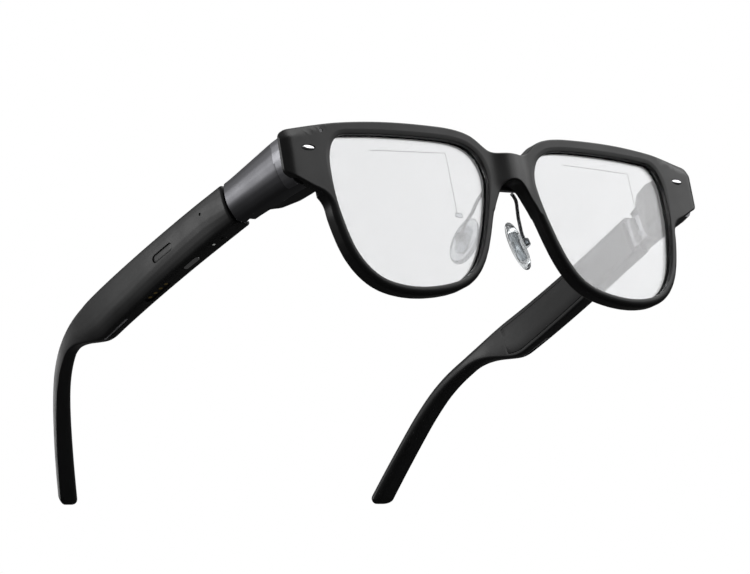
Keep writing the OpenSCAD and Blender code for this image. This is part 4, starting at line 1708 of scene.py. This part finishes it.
def set_world():
    """Soft room light: white where seen directly, dimmer and graded in reflections."""
    world = bpy.data.worlds.new("studio")
    bpy.context.scene.world = world
    world.use_nodes = True
    tree = world.node_tree
    tree.nodes.clear()
    path = add(tree, "ShaderNodeLightPath")
    where = add(tree, "ShaderNodeTexCoord")
    parts = add(tree, "ShaderNodeSeparateXYZ", links=[("Vector", where.outputs["Generated"])])
    level = add(tree, "ShaderNodeMapRange", interpolation_type="SMOOTHSTEP",
                values=[("From Min", -0.25), ("From Max", 1.0), ("To Min", 0.04),
                        ("To Max", 0.4)],
                links=[("Value", parts.outputs["Z"])])
    seen = add(tree, "ShaderNodeMath", operation="MAXIMUM",
               links=[(0, path.outputs["Is Camera Ray"]),
                      (1, path.outputs["Is Transmission Ray"])])
    total = add(tree, "ShaderNodeMix", data_type="FLOAT", values=[("B", 1.0)],
                links=[("Factor", seen.outputs["Value"]), ("A", level.outputs["Result"])])
    light = add(tree, "ShaderNodeBackground", values=[("Color", (1, 1, 1, 1))],
                links=[("Strength", total.outputs["Result"])])
    add(tree, "ShaderNodeOutputWorld", links=[("Surface", light.outputs["Background"])])


# Lights: name, direction from the glasses, width and height in metres, and watts
LIGHT_DISTANCE = 2.0
LIGHTS = (
    ("key_light", (0.61, -0.51, 0.60), 2.2, 2.2, 28.0),
    ("side_strip", (-0.80, 0.46, 0.39), 0.85, 0.5, 7.5),
    ("back_strip", (0.06, 0.92, 0.39), 0.5, 0.5, 1.6),
)
# The camera in the wear frame: its place, the directions to its right and up, and
# its focal length
CAMERA_PLACE = (-503.785, -493.375, -319.597)
CAMERA_RIGHT = (0.78762, -0.559, -0.25916)
CAMERA_UP = (-0.04518, -0.47187, 0.88051)
CAMERA_LENS = 135.68


def softbox(name, direction, width, height, power):
    """A soft light that faces the glasses."""
    data = bpy.data.lights.new(name, "AREA")
    data.shape = "RECTANGLE"
    data.size = width
    data.size_y = height
    data.energy = power
    lamp = bpy.data.objects.new(name, data)
    bpy.context.scene.collection.objects.link(lamp)
    away = Vector(direction).normalized()
    lamp.location = away * LIGHT_DISTANCE
    lamp.rotation_euler = away.to_track_quat("Z", "Y").to_euler()
    lamp.visible_camera = False


class SetStage(bpy.types.Operator):
    """Adds the floor, the lights, the room light and the camera"""

    bl_idname = "glasses.set_stage"
    bl_label = "Stage"

    def execute(self, context):
        scene = context.scene
        bm = bmesh.new()
        bmesh.ops.create_grid(bm, x_segments=2, y_segments=2, size=4)
        mesh = bpy.data.meshes.new("floor")
        bm.to_mesh(mesh)
        bm.free()
        mesh.materials.append(floor_finish())
        floor = bpy.data.objects.new("floor", mesh)
        scene.collection.objects.link(floor)
        floor.visible_glossy = False
        set_world()
        for light in LIGHTS:
            softbox(*light)
        scene.view_settings.view_transform = "Standard"
        data = bpy.data.cameras.new("camera")
        data.sensor_width = 36
        data.lens = CAMERA_LENS
        data.clip_start = 0.01
        camera = bpy.data.objects.new("camera", data)
        scene.collection.objects.link(camera)
        to_table = wear_to_table()
        turn = to_table.to_3x3() * (1 / MM)
        across = (turn @ Vector(CAMERA_RIGHT)).normalized()
        up = (turn @ Vector(CAMERA_UP)).normalized()
        back = across.cross(up).normalized()
        up = back.cross(across)
        matrix = Matrix((across, up, back)).transposed().to_4x4()
        matrix.translation = to_table @ Vector(CAMERA_PLACE)
        camera.matrix_world = matrix
        scene.camera = camera
        return {"FINISHED"}


STEPS = (
    AddFront, AddRims, AddLenses, AddDisplays, AddRivets, AddNoseBar, AddPadArms,
    AddPadCores, AddNosePads, AddSleeves, AddEngineCovers, AddTemples, AddControls,
    DressParts, SetStage,
)


class GlassesPanel(bpy.types.Panel):
    """Lists the sizes, the finishes and the pieces"""

    bl_idname = "VIEW3D_PT_glasses"
    bl_label = "Display glasses"
    bl_space_type = "VIEW_3D"
    bl_region_type = "UI"
    bl_category = "Glasses"

    def draw(self, context):
        for group in ("front", "temple", "nose", "finish"):
            box = self.layout.box()
            settings = getattr(context.scene, f"glasses_{group}")
            for name in settings.bl_rna.properties.keys():
                if name not in {"rna_type", "name"}:
                    box.prop(settings, name)
        for step in STEPS:
            self.layout.operator(step.bl_idname)


GROUPS = {"front": FrontSizes, "temple": TempleSizes, "nose": NoseSizes, "finish": Finishes}


def register():
    for group in GROUPS.values():
        bpy.utils.register_class(group)
    for name, group in GROUPS.items():
        setattr(bpy.types.Scene, f"glasses_{name}", bpy.props.PointerProperty(type=group))
    for step in (*STEPS, GlassesPanel):
        bpy.utils.register_class(step)


def unregister():
    for step in reversed((*STEPS, GlassesPanel)):
        bpy.utils.unregister_class(step)
    for name in GROUPS:
        delattr(bpy.types.Scene, f"glasses_{name}")
    for group in reversed(GROUPS.values()):
        bpy.utils.unregister_class(group)


def main():
    register()
    for step in STEPS:
        area, name = step.bl_idname.split(".")
        getattr(getattr(bpy.ops, area), name)()


if __name__ == "__main__":
    main()
